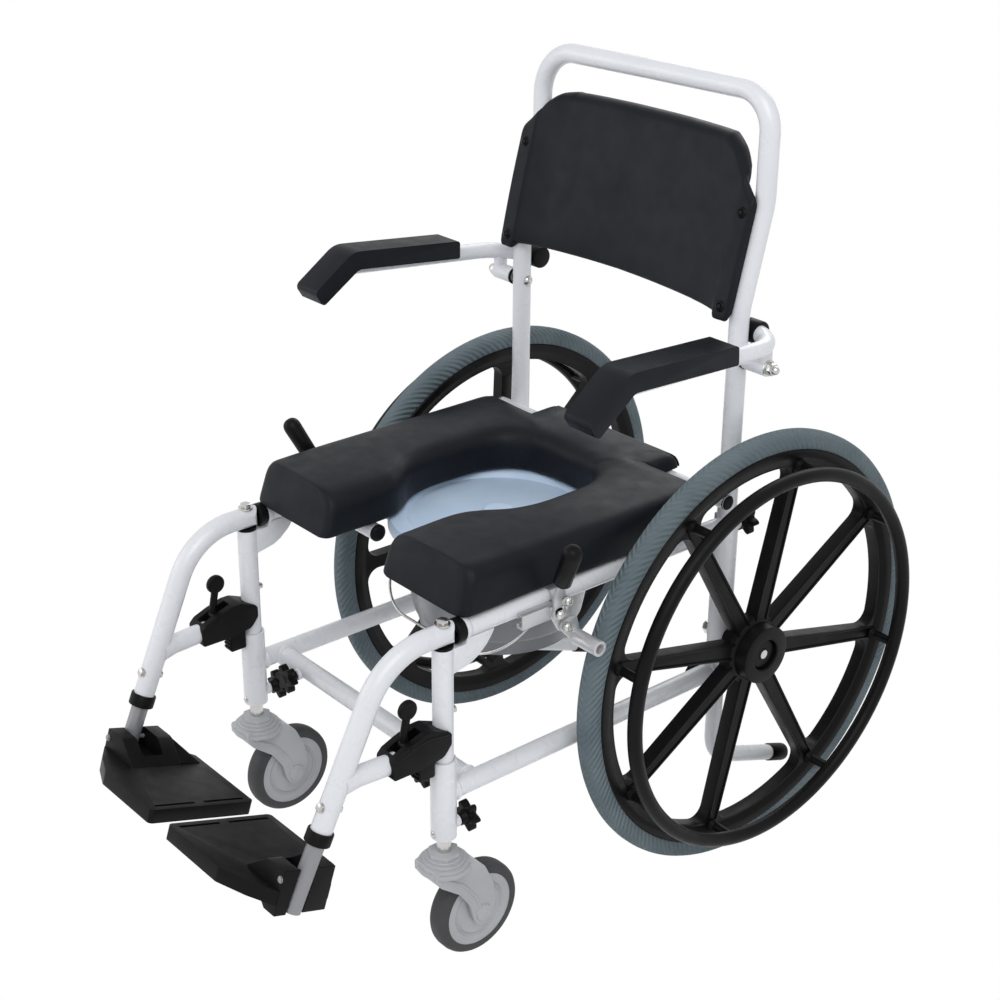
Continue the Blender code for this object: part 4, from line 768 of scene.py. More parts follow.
def spoke_angles(degrees):
    return [math.radians(degrees) + math.tau * k / SPOKES for k in range(SPOKES)]


def spoke_window(middle, inner=0.047, fillet=0.019):
    """Opening between two tapering spokes, rounded where it meets the rim."""
    pitch = math.pi / SPOKES
    taper = math.atan2(SPOKE_ROOT - SPOKE_TIP, RIM_INNER_R - HUB_R)
    along = Vector(on_circle(1.0, -pitch - taper))
    normal = Vector((-along.y, along.x))
    start = Vector(on_circle(HUB_R, -pitch)) + Vector((-math.sin(-pitch), math.cos(-pitch))) * SPOKE_ROOT
    offset = normal.dot(start)
    outer = RIM_INNER_R - 0.0018
    reach = math.sqrt((outer - fillet) ** 2 - (offset + fillet) ** 2)
    centre = normal * (offset + fillet) + along * reach
    line_end = normal * offset + along * reach
    rim_end = centre * (outer / centre.length)
    first, last = (math.atan2(*(end - centre).yx) for end in (line_end, rim_end))
    half = [(inner, inner * along.y / along.x + offset / normal.y)]
    half += [(centre.x + u, centre.y + v) for u, v in arc_points(first, last, fillet, 12)]
    half += arc_points(math.atan2(half[-1][1], half[-1][0]), 0, outer, 8)[1:]
    return turn_outline(half + [(u, -v) for u, v in reversed(half[:-1])], middle)


def spoke_rib(angle, side):
    """Raised edge of a spoke; the two edges leave a groove along its outer face."""
    near, far = HUB_R - 0.004, RIM_INNER_R + 0.001
    outline = [(near, side * 0.0118), (near, side * 0.0086), (far, side * 0.0058), (far, side * 0.0088)]
    rib = prism(turn_outline(outline, angle), WEB_HALF - 0.001, WEB_HALF + 0.0018, "YZ")
    return bevel(rib, 0.0008, 2)


def wheel_hub():
    face = HUB_FACE
    profile = [(0, face - 0.009), (0.0212, face - 0.009), (0.0212, face - 0.0014), (0.0226, face),
               (0.0375, face), (0.0394, face - 0.0008), (HUB_R, face - 0.0028), (HUB_R, 0.0120),
               (0.0450, 0.0085), (0.0450, -0.0085), (HUB_R, -0.0120), (0.0390, -0.0140), (0.0280, -0.0140),
               (0.0272, -0.0192), (0.0262, -0.0200), (0.0175, -0.0200), (0.0175, -HUB_TAIL), (0, -HUB_TAIL)]
    return turned(profile, WHEEL_CENTRE, X, 128)


def rear_wheel(degrees):
    half = RIM_W / 2
    rim = there_and_back([(RIM_INNER_R, 0.0086), (0.2585, 0.0100), (0.2640, half - 0.0010), (0.2665, half),
                          (RIM_R - 0.001, half), (RIM_R, half - 0.001)])
    rim = turned(rim, WHEEL_CENTRE, X, 160, closed=True)
    angles = spoke_angles(degrees)
    windows = [spoke_window(a + math.pi / SPOKES) for a in angles]
    disc = arc_points(0, math.tau, RIM_INNER_R + 0.004, 160)[:-1]
    web = bevel(prism(disc, -WEB_HALF, WEB_HALF, "YZ", windows), 0.0016, 3, 60)
    ribs = [spoke_rib(a, side) for a in angles for side in (1, -1)]
    spokes = bake(join(web, *ribs), Matrix.Translation(WHEEL_CENTRE))
    return join(rim, spokes, wheel_hub())


def rear_tyre():
    inner, half = RIM_R + GAP, TYRE_W / 2
    profile = [(inner, half - 0.002), (inner + 0.002, half - 0.0004)]
    profile += outward_from(WHEEL_R, [(0.0150, half + 0.0002), (0.0095, half), (0.0056, 0.0125),
                                      (0.0024, 0.0098), (0.0006, 0.0065), (0, 0.0030)])
    tyre = turned(there_and_back(profile), WHEEL_CENTRE, X, 192, closed=True)
    chart = tyre.data.uv_layers.new(name="tread")
    for polygon in tyre.data.polygons:
        middle = polygon.center
        base = math.atan2(middle.z - WHEEL_R, middle.y)
        for corner in polygon.loop_indices:
            place = tyre.data.vertices[tyre.data.loops[corner].vertex_index].co - WHEEL_CENTRE
            angle = base + math.remainder(math.atan2(place.z, place.y) - base, math.tau)
            down = WHEEL_R - math.hypot(place.y, place.z)
            chart.data[corner].uv = (angle * WHEEL_R, place.x + math.copysign(down, place.x))
    return tyre


def hand_rim(degrees):
    centre = WHEEL_CENTRE + X * HANDRIM_OFF
    circle = [(HANDRIM_R + u, v) for u, v in arc_points(0, -math.tau, HANDRIM_D / 2, 24)[:-1]]
    parts = [turned(circle, centre, X, 160, closed=True)]
    for angle in spoke_angles(degrees):
        top = centre + Vector((0, *on_circle(HANDRIM_R, angle)))
        foot = Vector((TRACK + RIM_W / 2 - 0.0018, top.y, top.z))
        parts += [rod(foot, top, 0.0062), rod(foot, foot + X * 0.0060, 0.0088, 0.0066)]
    return join(*parts)


def rear_axle():
    inner = HALF - SLEEVE / 2 - GAP
    shaft = rod((inner - 0.012, 0, WHEEL_R), (TRACK + HUB_FACE - 0.004, 0, WHEEL_R), AXLE_D / 2)
    return join(shaft, hexagon((inner - 0.009, 0, WHEEL_R), (inner, 0, WHEEL_R), 0.0105, 0.0008))


def axle_cap():
    profile = [(0, -0.0042), (0.0080, -0.0043), (0.0086, -0.0052), (0.0150, -0.0052), (0.0190, -0.0058),
               (0.0205, -0.0075), (0.0205, -0.0120), (0, -0.0120)]
    return turned(profile, WHEEL_CENTRE + X * HUB_FACE, X, 64)


for build, stem in ((rear_wheel, "wheel"), (hand_rim, "hand_rim")):
    both(build(SPOKE_PHASE), flipped(build(RIGHT_PHASE)), stem, "black_moulding")
pair(rear_tyre(), "tyre", "tyre_rubber")
pair(rear_axle(), "axle", "steel")
pair(axle_cap(), "axle_cap", "black_moulding", "lower_frame", replaces=False)


# Castors
CASTOR_AXLE = at_leg(CASTOR_R, TRAIL)


def castor_fork():
    outline = rounded_outline(
        [(-0.0290, 0.1500), (-0.0285, 0.1400), (-0.0210, 0.1290), (0.008, 0.1060), (0.0245, 0.0820),
         (0.0305, 0.0590), (0.0350, 0.0500), (0.0440, 0.0450), (0.0540, 0.0480), (0.0600, 0.0560),
         (0.0655, 0.0740), (0.0610, 0.1030), (0.0470, 0.1330), (0.0225, 0.1530), (-0.0280, 0.1530)],
        [0.001, 0.004, 0.010, 0.018, 0.022, 0.010, 0.006, 0.006, 0.006, 0.008, 0.016, 0.024, 0.020,
         0.006, 0.002], 6)
    cheek = CASTOR_W / 2 + 0.0015
    outside = cheek + FORK_CHEEK
    body = prism([(LEG_Y + u, v) for u, v in outline], HALF - outside, HALF + outside, "YZ")
    wheel_space = rod(CASTOR_AXLE - X * cheek, CASTOR_AXLE + X * cheek, CASTOR_R + 0.0035)
    parts = [bevel(cut(body, wheel_space), 0.0016, 3, 40)]
    collars = [(0, 0.1600), (0.0220, 0.1600), (0.0228, 0.1592), (0.0228, 0.1566), (0.0262, 0.1562),
               (0.0270, 0.1554), (0.0270, 0.1526), (0.0302, 0.1522), (0.0310, 0.1514), (0.0310, 0.1484),
               (0.0330, 0.1480), (0.0336, 0.1470), (0.0330, 0.1425), (0, 0.1420)]
    parts.append(turned(collars, at_leg(0), Z))
    parts.append(hexagon(at_leg(0.156), at_leg(0.1655), 0.0212, 0.0010, 0.0205))
    ridge = [(-0.018, 0.1400), (0.014, 0.1180), (0.0345, 0.0900), (0.0425, 0.0650)]
    boss = [(0, 0.0035), (0.0050, 0.0035), (0.0060, 0.0028), (0.0110, 0.0020), (0.0118, 0.0), (0, -0.001)]
    for side in (1, -1):
        points = [(HALF + side * (outside - 0.0004), LEG_Y + u, v) for u, v in ridge]
        parts.append(tube(points, 0.0022, [0.03, 0.03]))
        parts.append(turned(boss, CASTOR_AXLE + X * side * outside, X * side, 48))
    return join(*parts)


def castor_wheel():
    half = CASTOR_W / 2 - 0.0005
    profile = [(0.0049, half), (0.0325, half), (0.0338, half - 0.0016), (0.0355, half - 0.0024),
               (0.0372, half - 0.0016), (0.0385, half), (CASTOR_R - 0.0132, half)]
    return turned(there_and_back(profile), CASTOR_AXLE, X, closed=True)


def castor_tyre():
    half = CASTOR_W / 2 + 0.0002
    profile = outward_from(CASTOR_R, [(0.0135 - GAP, half), (0.0052, half), (0.0026, 0.0112),
                                      (0.0008, 0.0085), (0, 0.0050)])
    return turned(there_and_back(profile), CASTOR_AXLE, X, 128, closed=True)


pair(castor_fork(), "castor_fork", "castor_plastic")
pair(rod(at_leg(0.1413), at_leg(0.1982), STEM_D / 2), "castor_stem", "steel")
pair(castor_wheel(), "castor_wheel", "castor_plastic")
pair(castor_tyre(), "castor_tyre", "castor_rubber")


# Seat cushion
SEAT_LEAN = 0.0075         # how far the tops of the front faces lean back
SEAT_LEAN_SIDE = 0.0030    # and the tops of a wing's sides towards its middle
SEAT_LEAN_FROM = -0.345    # the leaning starts here, from the axle
SEAT_LEAN_H = 0.026        # height above the foot where nothing has moved
SEAT_CROWN = 0.0030        # rise of the top's middle


def smooth(stations, share=5):
    """Rounded run through a row of stations, each a flat list of numbers."""
    run = []
    last = len(stations) - 1
    for i in range(last):
        a, b, c, d = (stations[max(0, min(last, i + k))] for k in (-1, 0, 1, 2))
        for k in range(share):
            t = k / share
            run.append([0.5 * (2 * q + (r - p) * t + (2 * p - 5 * q + 4 * r - s) * t * t
                               + (3 * q - p - 3 * r + s) * t ** 3) for p, q, r, s in zip(a, b, c, d)])
    return run + [list(stations[-1])]


def seat_stations():
    """Inner and outer edge of the horseshoe, from the front of the left side to the middle of the back."""
    inner_x, outer_x, hole = CHANNEL_HALF, SEAT_HALF, OPENING_HALF
    return [
        (inner_x + 0.010, SEAT_FRONT, outer_x - 0.020, SEAT_FRONT),
        (inner_x + 0.003, SEAT_FRONT + 0.003, outer_x - 0.008, SEAT_FRONT + 0.002),
        (inner_x, SEAT_FRONT + 0.010, outer_x - 0.002, SEAT_FRONT + 0.008),
        (inner_x, SEAT_FRONT + 0.024, outer_x, SEAT_FRONT + 0.022),
        (inner_x, -0.352, outer_x, -0.345),
        (inner_x + 0.011, -0.322, outer_x, -0.300),
        (inner_x + 0.032, -0.290, outer_x, -0.250),
        (hole, -0.250, outer_x, -0.200),
        (hole, -0.200, outer_x, -0.150),
        (hole - 0.002, -0.165, outer_x, -0.100),
        (hole - 0.010, -0.141, outer_x, WING_REAR - 0.014),
        (hole - 0.018, -0.128, outer_x - 0.004, WING_REAR - 0.004),
        (hole - 0.026, -0.120, outer_x - 0.014, WING_REAR),
        (hole - 0.040, -0.112, TONGUE_HALF + 0.006, WING_REAR),
        (hole - 0.052, -0.109, TONGUE_HALF, WING_REAR + 0.007),
        (hole - 0.064, -0.107, TONGUE_HALF, TONGUE_REAR - 0.012),
        (hole - 0.070, OPENING_REAR - 0.0005, TONGUE_HALF - 0.004, TONGUE_REAR - 0.003),
        (hole - 0.078, OPENING_REAR, TONGUE_HALF - 0.014, TONGUE_REAR),
        (0.0, OPENING_REAR, 0.0, TONGUE_REAR),
    ]


def seat_ring(inner, outer):
    """Section of the cushion between two edge points: rounded edges and a crowned top."""
    low = SEAT_Z[0]
    foot = [(0.006, 0.0), (0.0022, 0.0010), (0.0004, 0.0032), (0.0, 0.0080)]
    inner_edge = foot + [(0.0, 0.030), (0.0008, 0.0365), (0.0030, 0.0425), (0.0065, 0.0475),
                         (0.0115, 0.0515), (0.0175, 0.0545), (0.0240, 0.0562)]
    outer_edge = foot + [(0.0, 0.036), (0.0008, 0.0420), (0.0028, 0.0475), (0.0060, 0.0520),
                         (0.0105, 0.0550), (0.0160, 0.0568), (0.0230, 0.0574)]
    width = (outer - inner).length
    way = (outer - inner).normalized()
    start, first = inner_edge[-1]
    stop, last = outer_edge[-1]
    run = list(inner_edge)
    for k in range(1, 10):
        t = k / 10
        crown = SEAT_CROWN * (1 - (2 * t - 1) ** 2)
        run.append((start + (width - stop - start) * t, first + (last - first) * t + crown))
    ring = [inner + way * inset + Z * (low + lift) for inset, lift in run]
    ring += [outer - way * inset + Z * (low + lift) for inset, lift in reversed(outer_edge)]
    for point in ring:
        share = min(1.0, max(0.0, (SEAT_LEAN_FROM - point.y) / (SEAT_LEAN_FROM - SEAT_FRONT)))
        lean = share * (point.z - low - SEAT_LEAN_H) / SEAT_LEAN_H
        point.y += SEAT_LEAN * lean
        point.x -= SEAT_LEAN_SIDE * lean * (1 if point.x > (inner.x + outer.x) / 2 else -1)
    return ring


def seat_cushion():
    """Crowned horseshoe skin lofted from the front of one side round the back to the other."""
    run = smooth(seat_stations())
    run += [(-a, b, -c, d) for a, b, c, d in reversed(run[:-1])]
    cushion = loft([seat_ring(Vector((a, b, 0)), Vector((c, d, 0))) for a, b, c, d in run])
    bar_space = box((-0.2, REAR_CROSS_Y - 0.0145, SEAT_Z[0] - 0.01), (0.2, 0.02, REAR_CROSS_Z + 0.0115))
    return cut(cushion, bar_space)


seat = finish(seat_cushion(), "seat_cushion_form", "black_foam", replaced="seat_cushion")


# Back panel
PANEL_BACK = 0.0060        # the face stands a little further rearward than the flange plate
PANEL_SHIFT = -0.0095      # the panel hangs a little towards the right
PANEL_FAR_RISE = 0.0150    # the far top corner stands fuller
PANEL_FAR_FROM = 0.135     # the rise starts here, from the middle
PANEL_FAR_WIDTH = 0.055    # and is full after this width
PANEL_SLOPE = math.tan(math.radians(BACK_TILT))
PANEL_STRETCH = 1 / math.cos(math.radians(BACK_TILT))
PANEL_FRONT = (UPR_Y + (BACK_Z - LEAN_Z[0]) * PANEL_SLOPE - BACK_GAP + PANEL_BACK
               - (TUBE / 2 + FLANGE_T) * PANEL_STRETCH)


def panel_point(x, rise, deep=0.0):
    return x + PANEL_SHIFT, PANEL_FRONT + rise * PANEL_SLOPE + deep * PANEL_STRETCH, BACK_Z + rise


def panel_stations():
    """From the left edge to the middle: across, lower and upper edge, depth of the face, thickness."""
    half = BACK_HALF - 0.0050
    flange = FLANGE_T - PANEL_BACK
    inside = BACK_HALF - 0.0298
    return [
        (half, -0.0700, 0.0650, 0.0035, 0.0065), (half - 0.0010, -0.0735, 0.0690, 0.0012, flange - 0.002),
        (half - 0.004, -0.0775, 0.0725, 0.0, flange), (half - 0.0110, -0.0780, 0.0790, 0.0, flange),
        (inside + 0.002, -0.0778, 0.0925, 0.0, flange), (inside - 0.001, -0.0735, 0.0980, 0.0008, 0.016),
        (inside - 0.004, -0.0715, 0.1015, 0.0018, 0.018), (inside - 0.010, -0.0708, 0.1080, 0.0032, 0.021),
        (inside - 0.025, -0.0700, 0.1225, 0.0062, 0.023), (inside - 0.044, -0.0695, 0.1335, 0.0092, 0.024),
        (inside - 0.055, -0.0690, 0.1352, 0.0104, 0.024), (inside - 0.090, -0.0680, 0.1360, 0.0130, 0.024),
        (0.0500, -0.0670, 0.1365, 0.0155, 0.024), (0.0, -0.0665, 0.1365, 0.0165, 0.024),
    ]


def panel_ring(x, low, high, depth, thick):
    """Upright section of the panel: a slightly crowned face and rounded edges."""
    back = depth + thick
    soft = min(0.008, thick * 0.45)
    face = [(low + 0.010, depth)]
    face += [(low + 0.010 + (high - low - 0.022) * k / 10, depth - 0.0012 * math.sin(math.pi * k / 10))
             for k in range(1, 10)]
    face += [(high - 0.012, depth), (high - 0.0075, depth + soft * 0.12),
             (high - 0.0035, depth + soft * 0.45), (high - 0.0008, depth + soft),
             (high, depth + thick * 0.55), (high - 0.0010, back - soft * 0.5),
             (high - 0.0040, back - soft * 0.12), (high - 0.010, back), ((low + high) / 2, back),
             (low + 0.010, back), (low + 0.0035, back - soft * 0.2), (low + 0.0008, back - soft * 0.6),
             (low, depth + thick * 0.5), (low + 0.0012, depth + soft * 0.5),
             (low + 0.0045, depth + soft * 0.12)]
    return [panel_point(x, rise, deep) for rise, deep in face]


def back_panel():
    """Dished panel whose side flanges lie on the leaning part of the uprights."""
    run = smooth(panel_stations())
    for x, low, high, depth, thick in run[-2::-1]:
        share = min(1.0, max(0.0, (x - PANEL_FAR_FROM) / PANEL_FAR_WIDTH))
        run.append((-x, low, high + PANEL_FAR_RISE * share * share * (3 - 2 * share), depth, thick))
    return loft([panel_ring(*station) for station in run])


def panel_screws():
    """Four domed screws that hold the flanges."""
    way = (0, -math.cos(math.radians(BACK_TILT)), math.sin(math.radians(BACK_TILT)))
    profile = [(0, 0.0030), (0.0028, 0.0029), (0.0034, 0.0012), (0.0041, 0.0028), (0.0064, 0.0018),
               (0.0078, -0.0006), (0.0078, -0.003), (0, -0.003)]
    places = [panel_point(side * (HALF - 0.0030), rise)
              for side, rises in ((1, (-0.0600, 0.0530)), (-1, (-0.0600, 0.0640))) for rise in rises]
    return join(*[turned(profile, place, way, 32) for place in places])


panel = finish(back_panel(), "back_panel_form", "black_foam", replaced="back_panel")
finish(panel_screws(), "panel_screws", "black_moulding", "upper_frame")


# Bucket, lid and bail
PAIL_WALL = 0.0022
PAIL_RIM = PAIL_TOP_R + 0.0042
BAIL_PIVOT = Vector((0, BUCKET_Y, BAIL_Z))


def pail():
    low, high = PAIL_Z

    def outer(z):
        return PAIL_FOOT_R + (PAIL_TOP_R - PAIL_FOOT_R) * (z - low) / (high - PAIL_LIP - low)

    rib = low + 0.0255
    profile = [(0, low + PAIL_WALL), (PAIL_FOOT_R - 0.005, low + PAIL_WALL),
               (PAIL_TOP_R - PAIL_WALL - 0.0005, high), (PAIL_RIM - 0.0006, high), (PAIL_RIM, high - 0.0006),
               (PAIL_RIM, high - PAIL_LIP), (PAIL_TOP_R, high - PAIL_LIP), (outer(rib) + 0.0001, rib),
               (outer(rib) - 0.0004, rib - 0.0008), (outer(rib) - 0.0020, rib - 0.0024),
               (outer(rib) - 0.0024, rib - 0.004), (outer(low) - 0.0022, low + 0.005),
               (PAIL_FOOT_R - 0.0028, low + 0.0012), (PAIL_FOOT_R - 0.006, low), (0, low)]
    return turned(profile, (0, BUCKET_Y, 0), Z, 128)


def bucket():
    """Pail, the flange plate that slides on the runners, and the two bail pins."""
    high = PAIL_Z[1]
    reach = BUCKET_R + 0.0175
    flange = box((-reach, BUCKET_Y - 0.105, high - PAIL_LIP), (reach, BUCKET_Y + 0.105, high))
    mouth = PAIL_TOP_R - PAIL_WALL
    inside = [(0, high + 0.01), (mouth, high + 0.01), (mouth, high - 0.02), (0, high - 0.02)]
    parts = [pail(), bevel(cut(flange, turned(inside, (0, BUCKET_Y, 0), Z, 64)), 0.0006, 2)]
    for way in (X, -X):
        face = BAIL_PIVOT + way * PAIL_TOP_R
        parts.append(rod(face - way * 0.0038, face + way * 0.0040, 0.0028))
        parts.append(rod(face + way * 0.0028, face + way * 0.0046, 0.0048))
    return join(*parts)


def bucket_lid():
    mouth = PAIL_TOP_R
    profile = [(0, 0.0199), (0.0150, 0.0198), (0.0196, 0.0192), (0.0208, 0.0180), (0.0222, 0.0155),
               (0.0250, 0.0145), (mouth - 0.0215, 0.0112), (mouth - 0.0190, 0.0118),
               (mouth - 0.0158, 0.0164), (mouth - 0.0138, 0.0181), (mouth - 0.0110, 0.0187),
               (LID_R - 0.0022, 0.0187), (LID_R - 0.0006, 0.0182), (LID_R, 0.0167), (LID_R, GAP),
               (mouth - 0.0048, GAP), (mouth - 0.0068, GAP - 0.0040), (mouth - 0.0093, 0.0077), (0, 0.0092)]
    return turned(profile, (0, BUCKET_Y, PAIL_Z[1]), Z, 128)


def bail():
    drop = math.radians(BAIL_DROP)
    reach = Vector((0, -math.cos(drop), -math.sin(drop))) * BAIL_REACH
    side = X * (PAIL_TOP_R + 0.0009)
    wire = tube([BAIL_PIVOT + side, BAIL_PIVOT + side + reach, BAIL_PIVOT - side + reach, BAIL_PIVOT - side],
                0.0019, [0.080, 0.080])
    eye = PAIL_TOP_R - 0.0006
    eyes = [rod(BAIL_PIVOT + way * eye, BAIL_PIVOT + way * (eye + 0.0030), 0.0062) for way in (X, -X)]
    return join(wire, *eyes)


finish(bucket(), "bucket_form", "bucket_plastic", replaced="bucket")
finish(bucket_lid(), "bucket_lid_form", "lid_plastic", replaced="bucket_lid")
finish(bail(), "bail_form", "steel", replaced="bail")


# Arms, drawn from their pivot: (along the chair, up)
ARM_SPLAY = 0.008          # outward drift towards the front
ARM_AXIS = (UPR_Y, ARM_PIVOT_Z)
ARM_BACK = (0.0285, 0.0268)
ARM_KNEE = (-0.2530, 0.0527)
ARM_TIP = (-0.2960, 0.0235)
PAD_REAR = -0.0827
PAD_X = HALF + 0.0577


def arm_x(y):
    return PAD_X + ARM_SPLAY * (PAD_REAR - y)


def arm_point(x, y, z):
    return Vector((x, UPR_Y + y, ARM_PIVOT_Z + z))


def arm_pin(start, end, radius):
    """Bar along the arm's axis, between two distances from the upright's middle."""
    return rod((HALF + start, *ARM_AXIS), (HALF + end, *ARM_AXIS), radius)


def turned_on(obj, pivot, degrees):
    """Swing a piece's mesh about the crosswise axis through a point."""
    place = Matrix.Translation((0, *pivot)) @ Matrix.Rotation(math.radians(degrees), 4, "X")
    return bake(obj, place @ Matrix.Translation((0, -pivot[0], -pivot[1])))


def arm_path():
    path = [arm_point(arm_x(point[0]), *point) for point in (ARM_TIP, ARM_KNEE, ARM_BACK)]
    return path + [arm_point(HALF - 0.0070, *ARM_BACK)]


def arm_tube():
    bar = tube(arm_path(), ARM_TUBE / 2, [0.030, 0.063])
    barrel = arm_pin(TUBE / 2 + 0.0028, 0.0525, 0.0112)
    web = box(arm_point(HALF + 0.0415, -0.0085, 0.0), arm_point(HALF + 0.0520, 0.0085, 0.0225))
    return join(bar, bevel(barrel, 0.0010, 2), bevel(web, 0.0016, 3))


def arm_bush():
    profile = [(0, 0.0), (0.0128, 0.0), (0.0146, 0.0006), (0.0152, 0.0020), (0.0152, 0.0225),
               (0.0146, 0.0240), (0.0120, 0.0246), (0, 0.0246)]
    return turned(profile, arm_point(HALF - 0.0100, *ARM_BACK), X, 64)


def arm_pad():
    outline = rounded_outline([(PAD_REAR, 0.0363), (-0.2530, 0.0535), (-0.3120, 0.0140), (-0.3250, 0.0350),
                               (-0.2615, 0.0795), (PAD_REAR, 0.0611)],
                              [0.003, 0.016, 0.006, 0.008, 0.034, 0.005])
    pad = bevel(prism(outline, -PAD_W / 2, PAD_W / 2, "YZ"), 0.0048, 5, 50)
    shear = Matrix(((1, -ARM_SPLAY, 0, arm_x(0)), (0, 1, 0, 0), (0, 0, 1, 0), (0, 0, 0, 1)))
    bake(pad, Matrix.Translation((0, *ARM_AXIS)) @ shear)
    tip, knee, back = arm_path()[:3]
    path = [tip + (tip - knee).normalized() * 0.001, knee, back - (knee - back).normalized() * 0.05]
    return cut(pad, tube(path, ARM_TUBE / 2 + 0.0006, [0.030]))


def arm_bolt():
    inner = -TUBE / 2 - GAP
    washer = TUBE / 2 + 0.0005
    head = [(0, 0.0050), (0.0025, 0.0048), (0.0048, 0.0040), (0.0066, 0.0022), (0.0072, 0.0), (0, 0.0)]
    dome = [(0, 0.0075), (0.0022, 0.0070), (0.0042, 0.0054), (0.0055, 0.0028), (0.0060, 0.0), (0, 0.0)]
    return join(arm_pin(inner - 0.002, 0.0665, 0.0040),
                turned(head, (HALF + inner, *ARM_AXIS), -X, 48),
                arm_pin(washer, washer + 0.0018, 0.0095),
                arm_pin(0.0526, 0.0540, 0.0105),
                hexagon((HALF + 0.0538, *ARM_AXIS), (HALF + 0.0625, *ARM_AXIS), 0.0085, 0.0008),
                turned(dome, (HALF + 0.0620, *ARM_AXIS), X, 48))


def arm_piece(build, *rest, **options):
    """The left arm rests a little lower than the right one."""
    return both(turned_on(build(), ARM_AXIS, LEFT_ARM_DROP), flipped(build()), *rest, **options)


arm_piece(arm_tube, "arm_tube", "white_paint", "arm")
arm_piece(arm_bush, "arm_bush", "black_moulding", "arm", replaces=False)
for pad in arm_piece(arm_pad, "arm_pad", "black_foam", "arm"):
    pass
pair(arm_bolt(), "arm_bolt", "steel")
pair(arm_pin(TUBE / 2 + 0.0010, TUBE / 2 + 0.0034, 0.0118), "arm_washer", "black_moulding", "arm",
     replaces=False)


# Footrests
END = Vector(HANGER_END)
KNEE = Vector(HANGER_KNEE)
DOWN = (END - KNEE).normalized()
HINGE = END + DOWN * HINGE_DOWN
STRUT_FOOT = END - DOWN * ((STRUT_Z - END.z) / -DOWN.z)
STRUT_END = at_leg(STRUT_Z, -0.0705)
REARWARD = Vector((0, math.cos(math.radians(PLATE_TILT)), -math.sin(math.radians(PLATE_TILT))))
TREAD_UP = X.cross(REARWARD)
LATCH_PIVOT = at_leg(0.3365, -0.0570)
WEDGE_INNER = 0.1300       # inner foot of the footplate's wedge, from the middle
WEDGE_POCKET = 0.1440      # inner end of the pocket in it


def hanger_tube():
    bar = tube([at_leg(HANGER_Z, 0.022), KNEE, END + DOWN * 0.0010], HANGER / 2, [0.090])
    trim = box((HALF - 0.03, LEG_Y, 0.44), (HALF + 0.03, LEG_Y + 0.05, 0.49))
    bar = cut(bar, cut(trim, rod(at_leg(0.43), at_leg(0.50), 0.0141)))
    way = (STRUT_END - STRUT_FOOT).normalized()
    flare = rod(STRUT_FOOT + way * 0.004, STRUT_FOOT + way * 0.024, 0.0158, TUBE / 2)
    return join(bar, tube([STRUT_FOOT, STRUT_END], TUBE / 2), flare)


def hanger_bolt():
    top = HANGER_Z + HANGER / 2 + GAP
    return join(rod(at_leg(LEG_Z[1] - 0.0206), at_leg(top + 0.0014), 0.0040),
                rod(at_leg(top - 0.0010), at_leg(top + 0.0012), 0.0095),
                hexagon(at_leg(top + 0.0010), at_leg(top + 0.0059), 0.0074))


def hanger_bush():
    profile = [(0.0100, 0.0), (0.0144, 0.0), (0.0152, 0.0010), (0.0152, 0.0110), (0.0144, 0.0120),
               (0.0100, 0.0120)]
    return turned(profile, at_leg(SEAT_RAIL_Z, 0.0145), Y, 64, closed=True)


def foot_tube():
    """Lower tube with the footplate's hinge pin, its washer and head."""
    start, end = (HINGE + REARWARD * lug for lug in LUG)
    return join(tube([END - DOWN * 0.0860, END + DOWN * 0.0950], FOOT_TUBE / 2),
                rod(start - REARWARD * 0.002, end - REARWARD * 0.0020, 0.0030),
                rod(start - REARWARD * 0.0006, start, 0.0044),
                hexagon(start - REARWARD * 0.0024, start - REARWARD * 0.0004, 0.0036, 0.0006))


def hanger_screw():
    """Bolt through the lower end of the hanger."""
    place = END - DOWN * 0.0360
    outward = DOWN.cross(X).normalized()
    return join(hexagon(place + outward * 0.0128, place + outward * 0.0168, 0.0056),
                rod(place + outward * 0.0120, place + outward * 0.0138, 0.0066),
                hexagon(place - outward * 0.0128, place - outward * 0.0166, 0.0056))


def clamp_ring():
    profile = [(0.0156, 0.0080), (0.0162, 0.0070), (0.0162, -0.0070), (0.0154, -0.0080), (0.0114, -0.0080),
               (0.0114, -0.0014), (0.0139, -0.0014), (0.0139, 0.0080)]
    return turned(profile, END, -DOWN, 64, closed=True)


def wedge_hull(points):
    """Convex solid round the given points."""
    mesh = bmesh.new()
    for point in points:
        mesh.verts.new(point)
    bmesh.ops.convex_hull(mesh, input=mesh.verts)
    loose = [v for v in mesh.verts if not v.link_faces]
    bmesh.ops.delete(mesh, geom=loose, context="VERTS")
    return bevel(from_bmesh(mesh), 0.0012, 2, 20)


def hinge_spaces(tread):
    """Slot that the foot tube stands in, and the pocket that it folds into."""
    lean = math.atan2(-DOWN.dot(REARWARD), -DOWN.dot(TREAD_UP))
    slot = box((-0.0146, -0.0122, -0.08), (0.04, 0.0122, 0.08))
    return (bake(slot, Matrix.Rotation(-lean, 4, "X")),
            box((WEDGE_POCKET - HINGE.x, -0.0125, tread + 0.0016), (0.001, 0.0185, 0.04)))


